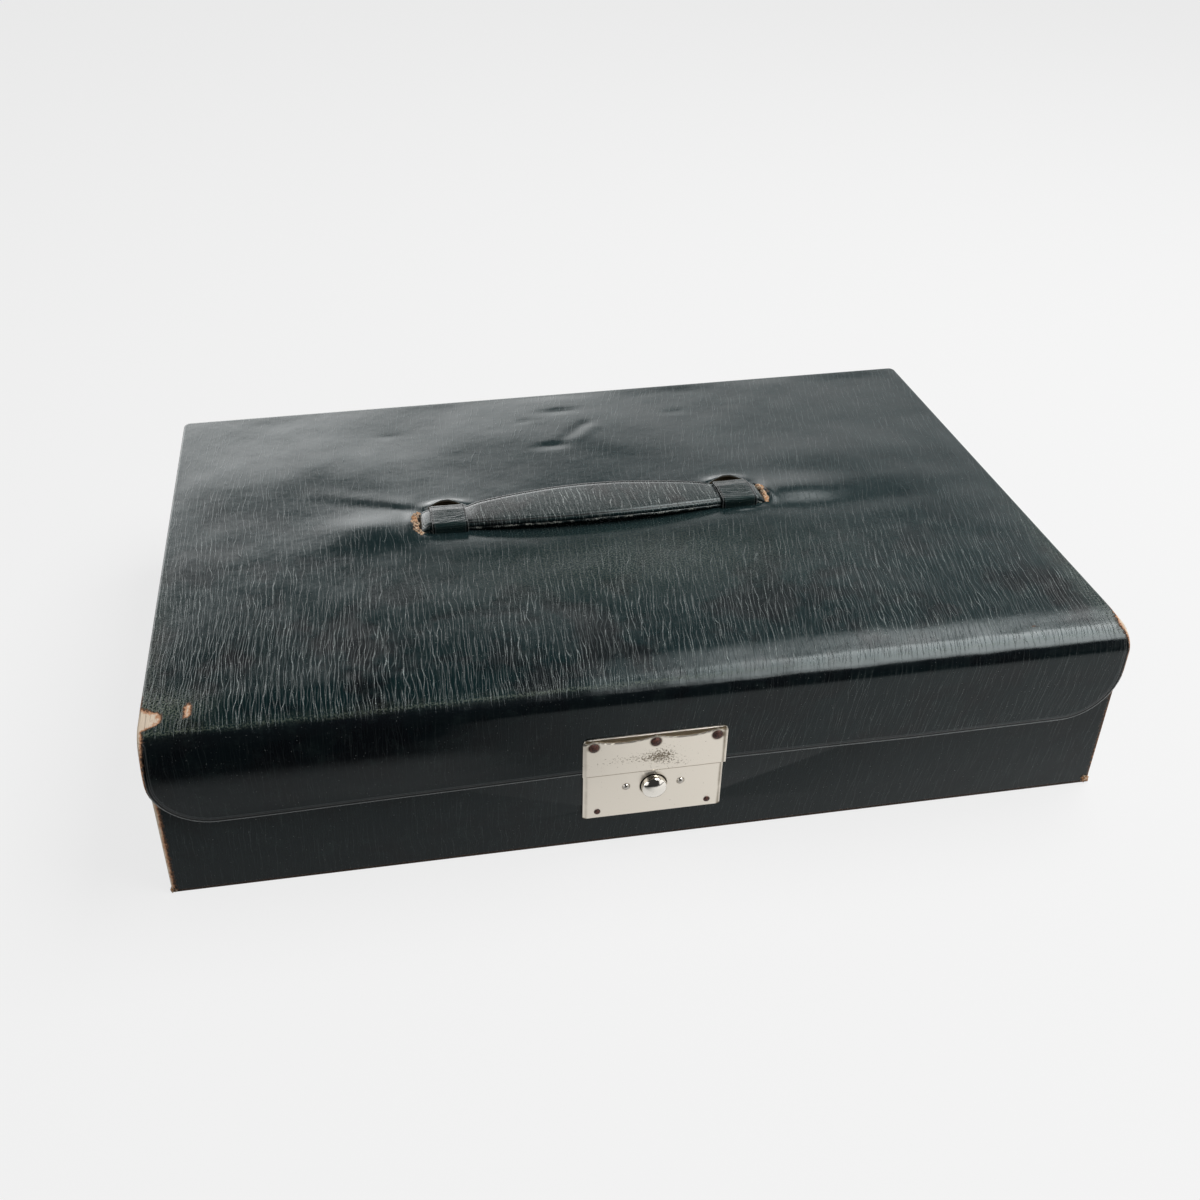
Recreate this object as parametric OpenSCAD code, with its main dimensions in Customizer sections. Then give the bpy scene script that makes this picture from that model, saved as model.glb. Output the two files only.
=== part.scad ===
// Leather case for barber tools, lying closed.
// A box of thin boards in leather, a hinged lid with a front flap, a push lock and a strap handle.
// The origin is the middle of the underside. X runs along the front, Y to the back, Z up.

/* [Case] */
// Width of the base across the front
case_w = 360; // [320:1:440]
// Depth of the base from front to back
case_d = 230; // [200:1:300]
// Height of the closed case without its handle
case_h = 76; // [70:1:110]
// Thickness of the four wall boards
wall_t = 5; // [5:0.5:8]
// Thickness of the bottom board
floor_t = 4; // [3:0.5:8]
// Thickness of the lid board
lid_t = 4; // [3:0.25:5]
// Thickness of the leather on the outside
leather_t = 1; // [0.8:0.1:1.3]
// Gap between the lid and the rim of the base
joint_gap = 0.3; // [0.2:0.05:0.5]
// How far the lid stands out past each side of the base
lid_over = 0.75; // [0:0.25:1.5]
// Outer radius of the rounded edge along the lid's front
edge_r = 9; // [8:0.5:11]

/* [Flap] */
// Height of the flap from the top of the lid to its lower edge
flap_h = 40; // [36:1:46]
// Radius of the flap's two lower corners
flap_r = 22; // [10:1:28]
// Gap between the flap's lining and the front of the base
flap_gap = 0.3; // [0.2:0.05:0.6]
// Thickness of the thin board in the flap
flap_board_t = 0.8; // [0.6:0.1:1.5]
// Thickness of the cloth behind the flap's board
flap_lining_t = 0.3; // [0.2:0.05:0.5]

/* [Inside] */
// Thickness of the cloth on the walls inside
lining_t = 1; // [0.5:0.1:2]
// How far the wall cloth stops below the rim
lining_drop = 2; // [1:0.5:6]
// Thickness of the velvet pad on the floor
floor_pad_t = 3; // [1:0.5:6]
// Thickness of the pad under the lid
lid_pad_t = 4; // [2:0.5:8]
// Clearance round the pad under the lid
lid_pad_clear = 2.5; // [2:0.5:8]
// Clearance round soft pieces and dividers
soft_gap = 0.3; // [0.1:0.1:1]
// Thickness of the dividers
divider_t = 3; // [2:0.5:6]
// Height of the dividers above the floor pad
divider_h = 30; // [15:1:40]
// Depth of the row of compartments along the back
back_row_d = 95; // [60:1:120]
// Width of the middle compartment in the back row
middle_w = 120; // [60:1:200]
// Thickness of the notched rests
rest_t = 8; // [5:0.5:14]
// Height of the notched rests above the floor pad
rest_h = 20; // [14:1:35]
// Distance from the middle of the case to each rest
rest_x = 90; // [50:1:130]
// Radius of the notches in the rests
notch_r = 7; // [4:0.5:9]
// Spacing of the notches
notch_pitch = 26; // [20:0.5:27]
// Number of notches in each rest
notch_count = 4; // [1:1:4]

/* [Hinges] */
// Distance from the middle of the case to each hinge
hinge_x = 110; // [60:1:140]
// Length of each hinge
hinge_len = 38; // [30:1:60]
// Thickness of a hinge leaf
leaf_t = 1; // [0.8:0.1:1.2]
// Width of a hinge leaf from the pin
leaf_w = 6; // [5.5:0.1:6.3]
// Outer radius of the knuckles
knuckle_r = 1.9; // [1.6:0.1:2.2]
// Radius of the hinge pin
pin_r = 0.9; // [0.6:0.05:1.1]
// How far the pin's axis lies behind the back of the base
pin_back = 0.4; // [0.3:0.1:1]
// Gap between neighbouring knuckles
knuckle_gap = 0.2; // [0.1:0.05:0.4]
// Clearance round the knuckles
knuckle_clear = 0.3; // [0.2:0.05:0.5]
// Clearance of a pin, screw or nail in its hole
fit_clear = 0.05; // [0.02:0.01:0.1]
// Radius of a hinge screw's shank
screw_r = 0.7; // [0.5:0.1:1]
// Radius of a hinge screw's head
screw_head_r = 1.3; // [1.1:0.1:1.6]
// Length of a hinge screw below its leaf in the base
base_screw_l = 7; // [4:0.5:12]
// Length of a hinge screw above its leaf in the lid
lid_screw_l = 2.2; // [1:0.1:2.6]

/* [Lock] */
// Width of the lock plate on the base
lock_w = 53; // [46:1:70]
// Height of the lock plate on the base
lock_h = 21.3; // [20:0.1:26]
// How far the lock plate's face stands out from the base
lock_out = 2.3; // [2.1:0.1:2.6]
// Thickness of the pressed lock plate
plate_t = 0.5; // [0.4:0.1:0.6]
// Gap between the flap's lower edge and the lock plate
lock_gap = 0.3; // [0.2:0.1:1]
// Width of the strike plate on the flap
strike_w = 54; // [46:1:70]
// Height of the strike plate
strike_h = 17; // [15.5:0.5:22]
// Thickness of the strike plate
strike_t = 0.8; // [0.5:0.1:1.2]
// Distance from the flap's lower edge to the strike plate
strike_rise = 1; // [0.5:0.1:2]
// Radius of the strike plate's upper corners
strike_r = 2.5; // [1:0.1:5]
// Diameter of the push button
button_d = 10; // [8:0.5:11]
// Height of the button's straight side above the lock plate
button_side = 2; // [1.9:0.1:3]
// Height of the button's dome
button_dome = 2.2; // [1:0.1:3]
// Distance from the lock plate's upper edge to the button's centre
button_drop = 6.9; // [6.7:0.1:8]
// Travel of the button
button_travel = 1.8; // [1:0.1:1.9]
// Distance from the middle to each rivet beside the button
rivet_x = 10.35; // [10.2:0.05:12]
// Radius of a rivet's head
rivet_head_r = 1.35; // [1:0.05:1.6]
// Height of a rivet's head
rivet_head_h = 0.5; // [0.2:0.1:0.8]
// Radius of a rivet's shank
rivet_r = 0.8; // [0.5:0.05:1]
// Distance from the middle to each lower nail
low_nail_x = 21.1; // [18:0.1:23]
// Height of the lower nails above the lock plate's lower edge
low_nail_rise = 3.2; // [2.5:0.1:6]
// Radius of a lower nail's head
low_nail_head_r = 1.25; // [1:0.05:1.6]
// Height of a lower nail's head
low_nail_head_h = 0.6; // [0.3:0.1:0.9]
// Radius of a lower nail's shank
low_nail_r = 0.6; // [0.4:0.05:0.8]
// Spacing of the three nails in the strike plate
strike_nail_pitch = 23; // [16:0.5:24]
// Distance from the strike plate's upper edge to its nails
strike_nail_drop = 3.8; // [3:0.1:4]
// Radius of a strike nail's head
strike_nail_head_r = 2; // [1.5:0.1:2.5]
// Height of a strike nail's head
strike_nail_head_h = 1.1; // [0.6:0.1:1.5]
// Radius of a strike nail's shank
strike_nail_r = 0.7; // [0.5:0.05:0.9]
// Width of each of the two prongs that enter the lock beside the button
prong_w = 4.2; // [3.6:0.1:5]
// How far the prongs reach below the flap
tongue_drop = 4; // [3.5:0.1:4.5]
// Thickness of the tongue plate
tongue_t = 0.6; // [0.4:0.1:0.7]
// Half width of the lock case in the front board
lock_case_x = 14; // [13:0.5:18]
// Thickness of the lock case's sheet
lock_sheet_t = 0.8; // [0.5:0.1:0.9]
// Clearance between the lock case and its pocket
lock_case_clear = 0.05; // [0.02:0.01:0.3]

/* [Handle] */
// Distance of the handle's middle behind the middle of the lid
handle_y = 3; // [-20:1:20]
// Width of the strap at its ends
strap_end_w = 16; // [12:0.5:20]
// Width of the strap in the middle
strap_mid_w = 27; // [20:0.5:34]
// Thickness of the strap
strap_t = 3.2; // [2:0.1:5]
// Height of the strap's arch in the middle
strap_arch = 2.3; // [1:0.1:6]
// Clearance between the strap and what it lies on or in
strap_clear = 0.2; // [0.1:0.05:0.3]
// Distance from the middle to the inner side of each loop
loop_x = 55; // [50:1:80]
// Width of each loop along the strap
loop_w = 15; // [10:0.5:20]
// Thickness of the loops' leather
loop_t = 1.2; // [0.8:0.1:2]
// How far the strap shows past each loop
strap_tip = 6; // [4:0.5:12]
// How far each strap end slides in when the handle lifts
end_slide = 6; // [3:0.5:7]
// Length of the strap hidden under the lid's leather
hidden_l = 28; // [15:1:40]
// Thickness of the hidden end of the strap
hidden_t = 1.8; // [1:0.1:2]

/* [Hidden] */
$fn = 96;
// Overlap that lets a cut pass right through a face
cut = 1;
left = -1;
right = 1;

// Outside faces of the base, and the inner faces of its boards
half_w = case_w / 2;
half_d = case_d / 2;
inner_x = half_w - leather_t - wall_t;
inner_y = half_d - leather_t - wall_t;
floor_z = leather_t + floor_t;
pad_top = floor_z + floor_pad_t;

// Lid and the rounded edge along its front
lid_x = half_w + lid_over;
lid_under = case_h - leather_t - lid_t;
board_top = case_h - leather_t;
base_top = lid_under - joint_gap;
flap_y = -half_d - flap_gap - flap_lining_t - flap_board_t - leather_t;
flap_back = -half_d - flap_gap;
flap_z = case_h - flap_h;
edge_y = flap_y + edge_r;
edge_z = case_h - edge_r;
rail_out_r = edge_r - leather_t;
rail_in_r = rail_out_r - lid_t;
nose_r = rail_in_r - joint_gap;
front_top = edge_z - joint_gap;

// Inside room of the base
room_x = inner_x - lining_t;
room_y = inner_y - lining_t;
soft_x = room_x - soft_gap;
soft_y = room_y - soft_gap;
long_divider_y = room_y - back_row_d - divider_t;
rest_mid_y = (long_divider_y - soft_y) / 2;
rest_d = long_divider_y + soft_y - soft_gap;

// Hinges
pin_y = half_d + pin_back;
pin_z = base_top + joint_gap / 2;
knuckles = 5;
knuckle_l = (hinge_len - (knuckles - 1) * knuckle_gap) / knuckles;
notch_clear_r = knuckle_r + knuckle_clear;
screw_y = pin_y - (leaf_w + notch_clear_r) / 2;
screw_x = hinge_len / 4;
screw_head_t = leaf_t / 2;

// Lock
lock_top = flap_z - lock_gap;
lock_low = lock_top - lock_h;
lock_face = -half_d - lock_out;
button_z = lock_top - button_drop;
low_nail_z = lock_low + low_nail_rise;
// How far the lock case starts above the plate's lower edge, and ends above the flap's
lock_case_rise = 2;
lock_case_over = 1;
// Board left behind the lock case
board_left = 1;
lock_case_low = lock_low + lock_case_rise;
lock_case_top = flap_z + lock_case_over;
lock_case_back = -inner_y - board_left;
latch_t = 0.8;
// Room left for the flattened spring behind the pressed latch
spring_room = 0.6;
latch_front = lock_case_back - lock_sheet_t - spring_room - button_travel - latch_t;
// Room below the latch plate, and between it and the rivets' posts
latch_rise = 2.5;
latch_side = 0.3;
rivet_post_t = 0.9;
rivet_post_r = rivet_r + rivet_post_t;
latch_x = rivet_x - rivet_post_r - latch_side;
latch_low = lock_case_low + lock_sheet_t + latch_rise;
stem_r = 2;
// Gap between the back of the button's head and the base
button_gap = 0.6;
button_foot = -half_d - button_gap;
// The tongue's two prongs pass the button, one on each side
prong_clear = 0.4;
prong_x = button_d / 2 + prong_clear;
tongue_x = prong_x + prong_w;
// Height of the latch's noses above the prongs' ends, and their size
nose_rise = 1.4;
nose_z = flap_z - tongue_drop + nose_rise;
nose_h = 1.2;
nose_w = 1;
nose_x = prong_x + prong_w / 2;
window_gap = 0.3;
// Room beside the tongue in the lock plate's slot
slot_side = 1;
slot_x = tongue_x + slot_side;
// Board left behind the holes of the lower nails, and the gap at the nails' points
low_nail_end = 0.5;
low_nail_back = -inner_y - low_nail_end;
strike_low = flap_z + strike_rise;
strike_top = strike_low + strike_h;
strike_face = flap_y - strike_t;
strike_nail_z = strike_top - strike_nail_drop;
tongue_front = flap_back - tongue_t;
// Share of the strike plate's height that the tongue reaches up behind it
tongue_share = 0.62;
tongue_top = strike_low + strike_h * tongue_share;
spring_x = 7;
spring_w = 4;
spring_t = 0.3;
spring_sag = button_travel + spring_room - spring_t;

// Handle
strap_z = case_h + strap_clear;
arch_r = (loop_x * loop_x + strap_arch * strap_arch) / (2 * strap_arch);
belly = (strap_mid_w - strap_end_w) / 2;
belly_r = (loop_x * loop_x + belly * belly) / (2 * belly);
// The strap bends from here inside each loop to just under the loop
bend_inside = 9;
bend_under = 1;
bend_in = loop_x - bend_inside;
bend_out = loop_x + bend_under;
tip_x = loop_x + loop_w + strap_tip;
step_l = 4;
// How far the opening in the leather reaches past the strap's tip
window_end = 2;
loop_bend_r = 2 * strap_clear;
hidden_z = board_top - strap_clear - hidden_t;
channel_w = strap_end_w + 2 * strap_clear;
loop_in_h = strap_t + 2 * strap_clear;

// A length of profile along X, drawn with Y to the right and Z up
module along_x(from_x, to_x) {
    translate([from_x, 0, 0]) rotate([90, 0, 90]) linear_extrude(to_x - from_x) children();
}

// A length of profile along Y, drawn with X to the right and Z up
module along_y(from_y, to_y) {
    translate([0, to_y, 0]) rotate([90, 0, 0]) linear_extrude(to_y - from_y) children();
}

// A box between two opposite corners
module box(low, high) {
    translate(low) cube(high - low);
}

// A round bar along Y
module bar_y(x, z, r, from_y, to_y) {
    translate([x, from_y, z]) rotate([-90, 0, 0]) cylinder(r = r, h = to_y - from_y);
}

// A button, nail or rivet that points to the front: a domed head on a shank, turned about Y
module turned_head(x, z, base_y, r, side_h, dome_h, shank_r, shank_l) {
    ball_r = (r * r + dome_h * dome_h) / (2 * dome_h);
    translate([x, base_y, z]) rotate([90, 0, 0]) rotate_extrude() {
        translate([0, side_h]) intersection() {
            translate([0, dome_h - ball_r]) circle(r = ball_r);
            square([r, dome_h]);
        }
        if (side_h > 0) square([r, side_h]);
        translate([0, -shank_l]) square([shank_r, shank_l]);
    }
}

// Side view of the base: its front corner is rounded under the lid's rail
module base_profile(inset, low) {
    translate([-half_d + inset, low]) square([case_d - 2 * inset, front_top - inset - low]);
    translate([edge_y, low]) square([half_d - inset - edge_y, base_top - inset - low]);
    translate([edge_y, edge_z]) circle(r = nose_r - inset);
}

// Side view of the lid, out to the given radius of its front edge
module lid_profile(out_r) {
    translate([edge_y, lid_under])
        square([half_d - (edge_r - out_r) - edge_y, out_r - rail_in_r]);
    rail_profile(out_r);
}

module rail_profile(out_r) {
    translate([edge_y, edge_z]) intersection() {
        difference() {
            circle(r = out_r);
            circle(r = rail_in_r);
        }
        translate([-out_r, 0]) square(out_r);
    }
}

// Front view of the flap, drawn in from its edge by inset
module flap_outline(inset) {
    corner_x = lid_x - flap_r;
    corner_z = flap_z + flap_r;
    r = flap_r - inset;
    translate([-lid_x + inset, corner_z]) square([2 * (lid_x - inset), edge_z - corner_z]);
    translate([-corner_x, flap_z + inset]) square([2 * corner_x, edge_z - flap_z - inset]);
    for (side = [left, right])
        translate([side * corner_x, corner_z]) intersection() {
            circle(r = r);
            translate([-r, -r]) square([2 * r, r]);
        }
}

// Room round the knuckles, cut from the boards and the leather at the back
module hinge_notches() {
    half_l = hinge_len / 2 + knuckle_clear;
    for (side = [left, right])
        translate([side * hinge_x - half_l, pin_y, pin_z]) rotate([0, 90, 0])
            cylinder(r = notch_clear_r, h = 2 * half_l);
}

// Places for one hinge's pair of screws, on both hinges
module at_screws() {
    for (side = [left, right], end = [-1, 1])
        translate([side * hinge_x + end * screw_x, screw_y, 0]) children();
}

// Seat of the hinge leaves between two heights
module leaf_seats(low_z, high_z) {
    half_l = hinge_len / 2 + fit_clear;
    for (side = [left, right])
        box([side * hinge_x - half_l, pin_y - leaf_w - fit_clear, low_z],
            [side * hinge_x + half_l, pin_y, high_z]);
}

// Pocket for the lock case, through the leather and into the front board
module lock_pocket() {
    grow = lock_case_clear;
    box([-lock_case_x - grow, -half_d - cut, lock_case_low - grow],
        [lock_case_x + grow, lock_case_back + grow, lock_case_top + grow]);
}

module low_nail_holes() {
    for (side = [left, right])
        bar_y(side * low_nail_x, low_nail_z, low_nail_r + fit_clear, lock_face - cut, low_nail_back);
}

module strike_nail_holes() {
    for (i = [-1, 0, 1])
        bar_y(i * strike_nail_pitch, strike_nail_z, strike_nail_r + fit_clear,
            strike_face - cut, flap_back - flap_lining_t);
}

module underside_cover() {
    color("#2b2420") box([-half_w, -half_d, 0], [half_w, half_d, leather_t]);
}

module bottom_board() {
    edge_x = half_w - leather_t;
    edge_back = half_d - leather_t;
    color("#a98a5f") box([-edge_x, -edge_back, leather_t], [edge_x, edge_back, floor_z]);
}

module front_board() {
    color("#a98a5f") difference() {
        box([-inner_x, -half_d + leather_t, floor_z], [inner_x, -inner_y, front_top - leather_t]);
        lock_pocket();
        low_nail_holes();
    }
}

module back_board() {
    color("#a98a5f") difference() {
        box([-inner_x, inner_y, floor_z], [inner_x, half_d - leather_t, base_top - leather_t]);
        hinge_notches();
        leaf_seats(base_top - leaf_t, base_top);
        at_screws() translate([0, 0, base_top - leaf_t - base_screw_l])
            cylinder(r = screw_r + fit_clear, h = base_screw_l + leaf_t);
    }
}

module side_board(side) {
    start_x = side == left ? -inner_x - wall_t : inner_x;
    color("#a98a5f") along_x(start_x, start_x + wall_t) base_profile(leather_t, floor_z);
}

module base_leather() {
    color("#1d2322") difference() {
        union() {
            for (side = [left, right]) {
                start_x = side == left ? -half_w : inner_x;
                cut_x = side == left ? start_x + leather_t : start_x - cut;
                difference() {
                    along_x(start_x, start_x + leather_t + wall_t) base_profile(0, leather_t);
                    along_x(cut_x, cut_x + wall_t + cut) base_profile(leather_t, 0);
                }
            }
            base_leather_wall(-half_d, -half_d, front_top);
            base_leather_wall(half_d - leather_t, inner_y, base_top);
        }
        lock_pocket();
        low_nail_holes();
        hinge_notches();
        leaf_seats(base_top - leaf_t, base_top + cut);
    }
}

// One long wall of the leather, with its turn-in over the board's top
module base_leather_wall(wall_y, lip_y, top_z) {
    box([-inner_x, wall_y, leather_t], [inner_x, wall_y + leather_t, top_z]);
    box([-inner_x, lip_y, top_z - leather_t], [inner_x, lip_y + leather_t + wall_t, top_z]);
}

module wall_lining() {
    side_top = base_top - lining_drop;
    color("#6b2530") {
        for (side = [left, right]) {
            start_x = side == left ? -inner_x : room_x;
            box([start_x, -room_y, floor_z], [start_x + lining_t, room_y, side_top]);
        }
        box([-inner_x, -inner_y, floor_z], [inner_x, -room_y, front_top - lining_drop]);
        box([-inner_x, room_y, floor_z], [inner_x, inner_y, side_top]);
    }
}

module floor_pad() {
    color("#7b2a36") box([-soft_x, -soft_y, floor_z], [soft_x, soft_y, pad_top]);
}

module long_divider() {
    color("#7b2a36")
        box([-soft_x, long_divider_y, pad_top], [soft_x, long_divider_y + divider_t, pad_top + divider_h]);
}

module cross_divider(side) {
    mid_x = side * (middle_w + divider_t) / 2;
    color("#7b2a36")
        box([mid_x - divider_t / 2, long_divider_y + divider_t, pad_top],
            [mid_x + divider_t / 2, soft_y, pad_top + divider_h]);
}

// A rest across the front row, with round notches that hold razors and scissors
module tool_rest(side) {
    start_x = side * rest_x - rest_t / 2;
    top_z = pad_top + rest_h;
    color("#7b2a36") difference() {
        box([start_x, -soft_y, pad_top], [start_x + rest_t, long_divider_y, top_z]);
        for (i = [0 : notch_count - 1])
            translate([start_x - cut, rest_mid_y + (i - (notch_count - 1) / 2) * notch_pitch, top_z])
                rotate([0, 90, 0]) cylinder(r = notch_r, h = rest_t + 2 * cut);
    }
}

// Pressed plate over the lock, a shallow pan with a slot in its top for the tongue
module lock_plate() {
    pan_back = -half_d;
    color("#c9c4ba") difference() {
        box([-lock_w / 2, lock_face, lock_low], [lock_w / 2, pan_back, lock_top]);
        box([-lock_w / 2 + plate_t, lock_face + plate_t, lock_low + plate_t],
            [lock_w / 2 - plate_t, pan_back + cut, lock_top - plate_t]);
        box([-slot_x, lock_face + plate_t, lock_top - plate_t - cut], [slot_x, pan_back + cut, lock_top + cut]);
        bar_y(0, button_z, button_d / 2 + fit_clear, lock_face - cut, pan_back);
        for (side = [left, right])
            bar_y(side * rivet_x, button_z, rivet_r + fit_clear, lock_face - cut, pan_back);
        low_nail_holes();
    }
}

// Box in the front board that holds the latch, with two posts for the rivets
module lock_case() {
    color("#8d8a84") difference() {
        union() {
            difference() {
                box([-lock_case_x, -half_d, lock_case_low], [lock_case_x, lock_case_back, lock_case_top]);
                box([-lock_case_x + lock_sheet_t, -half_d - cut, lock_case_low + lock_sheet_t],
                    [lock_case_x - lock_sheet_t, lock_case_back - lock_sheet_t, lock_case_top - lock_sheet_t]);
            }
            for (side = [left, right])
                bar_y(side * rivet_x, button_z, rivet_post_r, lock_face + plate_t, lock_case_back - lock_sheet_t);
        }
        for (side = [left, right])
            bar_y(side * rivet_x, button_z, rivet_r + fit_clear, lock_face, latch_front + latch_t);
    }
}

module lock_rivets() {
    color("#dad6cc") for (side = [left, right])
        turned_head(side * rivet_x, button_z, lock_face, rivet_head_r, 0, rivet_head_h,
            rivet_r, latch_front + latch_t - lock_face);
}

module lock_nails() {
    color("#3d2a20") for (side = [left, right])
        turned_head(side * low_nail_x, low_nail_z, lock_face, low_nail_head_r, 0, low_nail_head_h,
            low_nail_r, low_nail_back - low_nail_end - lock_face);
}

// Domed button that goes through the lock plate, on a stem
module push_button() {
    side_h = button_foot - lock_face + button_side;
    color("#cfcac0") turned_head(0, button_z, button_foot, button_d / 2, side_h, button_dome,
        stem_r, latch_front - button_foot);
}

// Plate behind the button, with two noses at the prongs' windows
module latch_plate() {
    color("#9a968f") {
        box([-latch_x, latch_front, latch_low], [latch_x, latch_front + latch_t, nose_z + nose_h]);
        for (side = [left, right])
            box([side * nose_x - nose_w / 2, -half_d, nose_z],
                [side * nose_x + nose_w / 2, latch_front, nose_z + nose_h]);
    }
}

// Bowed leaf spring between the latch plate and the back of the lock case
module lock_spring() {
    in_r = (spring_x * spring_x + spring_sag * spring_sag) / (2 * spring_sag);
    mid_y = lock_case_back - lock_sheet_t + in_r - spring_sag;
    color("#6f6f72") translate([0, 0, button_z - spring_w / 2]) linear_extrude(spring_w) intersection() {
        translate([0, mid_y]) difference() {
            circle(r = in_r + spring_t);
            circle(r = in_r);
        }
        translate([-spring_x, lock_case_back - lock_sheet_t - spring_sag - spring_t - cut])
            square([2 * spring_x, spring_sag + spring_t + cut]);
    }
}

module lid_board() {
    color("#a98a5f") difference() {
        box([-lid_x + leather_t, edge_y, lid_under], [lid_x - leather_t, half_d - leather_t, board_top]);
        hinge_notches();
        leaf_seats(lid_under, lid_under + leaf_t);
        at_screws() translate([0, 0, lid_under])
            cylinder(r = screw_r + fit_clear, h = leaf_t + lid_screw_l);
        for (side = [left, right]) strap_channel(side);
    }
}

// Channel in the top of the lid board for the hidden end of the strap
module strap_channel(side) {
    near_x = tip_x - step_l - end_slide;
    far_x = tip_x + hidden_l + soft_gap;
    low_x = side == left ? -far_x : near_x;
    box([low_x, handle_y - channel_w / 2, hidden_z - strap_clear],
        [low_x + far_x - near_x, handle_y + channel_w / 2, board_top + cut]);
}

module edge_rail() {
    color("#a98a5f") along_x(-lid_x + leather_t, lid_x - leather_t) rail_profile(rail_out_r);
}

module flap_board() {
    front = flap_y + leather_t;
    color("#a98a5f") difference() {
        along_y(front, front + flap_board_t) flap_outline(leather_t);
        tongue_pocket();
        strike_nail_holes();
    }
}

module flap_lining() {
    color("#6b2530") difference() {
        along_y(flap_back - flap_lining_t, flap_back) flap_outline(leather_t);
        tongue_pocket();
    }
}

// Recess in the back of the flap that the tongue is let into
module tongue_pocket() {
    box([-tongue_x, tongue_front, flap_z - cut], [tongue_x, flap_back + cut, tongue_top]);
}

module lid_leather() {
    skin_x = lid_x - leather_t;
    color("#242d2b") difference() {
        union() {
            difference() {
                along_x(-lid_x, lid_x) lid_profile(edge_r);
                along_x(-skin_x, skin_x) {
                    translate([edge_y, edge_z]) circle(r = rail_out_r);
                    translate([edge_y, edge_z]) square([half_d - leather_t - edge_y, rail_out_r]);
                }
            }
            difference() {
                along_y(flap_y, flap_back) flap_outline(0);
                along_y(flap_y + leather_t, flap_back + cut) flap_outline(leather_t);
            }
        }
        box([-tongue_x, tongue_front, flap_z - cut], [tongue_x, flap_back + cut, flap_z + 2 * leather_t]);
        hinge_notches();
        strike_nail_holes();
        for (side = [left, right]) {
            loop_slits(side);
            strap_window(side);
        }
    }
}

// Opening in the lid's leather where the strap goes under it
module strap_window(side) {
    near_x = tip_x - step_l - end_slide;
    far_x = tip_x + window_end;
    low_x = side == left ? -far_x : near_x;
    box([low_x, handle_y - channel_w / 2, board_top - cut],
        [low_x + far_x - near_x, handle_y + channel_w / 2, case_h + cut]);
}

// Slits in the lid's leather for the feet of a loop
module loop_slits(side) {
    low_x = side == left ? -loop_x - loop_w : loop_x;
    for (leg = [-1, 1]) {
        leg_y = handle_y + leg * (channel_w + loop_t) / 2;
        box([low_x, leg_y - loop_t / 2, board_top - cut], [low_x + loop_w, leg_y + loop_t / 2, case_h + cut]);
    }
}

module lid_pad() {
    pad_x = room_x - lid_pad_clear;
    pad_y = room_y - lid_pad_clear;
    color("#8a3340") box([-pad_x, -pad_y, lid_under - lid_pad_t], [pad_x, pad_y, lid_under]);
}

module strike_plate() {
    half = strike_w / 2;
    color("#c9c4ba") difference() {
        along_y(strike_face, flap_y) {
            translate([-half, strike_low]) square([strike_w, strike_h - strike_r]);
            translate([-half + strike_r, strike_low]) square([strike_w - 2 * strike_r, strike_h]);
            for (side = [left, right])
                translate([side * (half - strike_r), strike_top - strike_r]) circle(r = strike_r);
        }
        strike_nail_holes();
    }
}

// Flat tongue in the back of the flap: its two prongs go down into the lock
module strike_tongue() {
    low_z = flap_z - tongue_drop;
    window_x = nose_w / 2 + window_gap;
    color("#9a968f") difference() {
        box([-tongue_x, tongue_front, low_z], [tongue_x, flap_back, tongue_top]);
        box([-prong_x, tongue_front - cut, low_z - cut], [prong_x, flap_back + cut, flap_z]);
        for (side = [left, right])
            box([side * nose_x - window_x, tongue_front - cut, nose_z - window_gap],
                [side * nose_x + window_x, flap_back + cut, nose_z + nose_h + window_gap]);
    }
}

module strike_nails() {
    color("#4a2c20") for (i = [-1, 0, 1])
        turned_head(i * strike_nail_pitch, strike_nail_z, strike_face, strike_nail_head_r, 0,
            strike_nail_head_h, strike_nail_r, flap_back - flap_lining_t - strike_face);
}

// The knuckles of one leaf: first is 0 on the base and 1 on the lid
module knuckle_set(first) {
    for (i = [first : 2 : knuckles - 1])
        translate([-hinge_len / 2 + i * (knuckle_l + knuckle_gap), pin_y, pin_z])
            rotate([0, 90, 0]) cylinder(r = knuckle_r, h = knuckle_l);
}

// A hinge leaf with its knuckles, bored for the pin and drilled for the screws
module hinge_leaf(first, low_z, head_z) {
    other = 1 - first;
    difference() {
        union() {
            difference() {
                box([-hinge_len / 2, pin_y - leaf_w, low_z], [hinge_len / 2, pin_y, low_z + leaf_t]);
                for (i = [other : 2 : knuckles - 1])
                    translate([-hinge_len / 2 + i * (knuckle_l + knuckle_gap) - knuckle_gap, pin_y, pin_z])
                        rotate([0, 90, 0]) cylinder(r = notch_clear_r, h = knuckle_l + 2 * knuckle_gap);
            }
            knuckle_set(first);
        }
        translate([-hinge_len / 2 - cut, pin_y, pin_z]) rotate([0, 90, 0])
            cylinder(r = pin_r + fit_clear, h = hinge_len + 2 * cut);
        for (end = [-1, 1]) translate([end * screw_x, screw_y, 0]) {
            translate([0, 0, low_z - cut]) cylinder(r = screw_r + fit_clear, h = leaf_t + 2 * cut);
            translate([0, 0, head_z]) cylinder(r = screw_head_r + fit_clear, h = screw_head_t);
        }
    }
}

module hinge_base_leaves() {
    low_z = base_top - leaf_t;
    color("#b08d4a") for (side = [left, right])
        translate([side * hinge_x, 0, 0]) hinge_leaf(0, low_z, low_z + leaf_t - screw_head_t);
}

module hinge_lid_leaves() {
    color("#b08d4a") for (side = [left, right])
        translate([side * hinge_x, 0, 0]) hinge_leaf(1, lid_under, lid_under);
}

module hinge_pins() {
    color("#8f8f8f") for (side = [left, right])
        translate([side * hinge_x - hinge_len / 2, pin_y, pin_z]) rotate([0, 90, 0])
            cylinder(r = pin_r, h = hinge_len);
}

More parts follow.
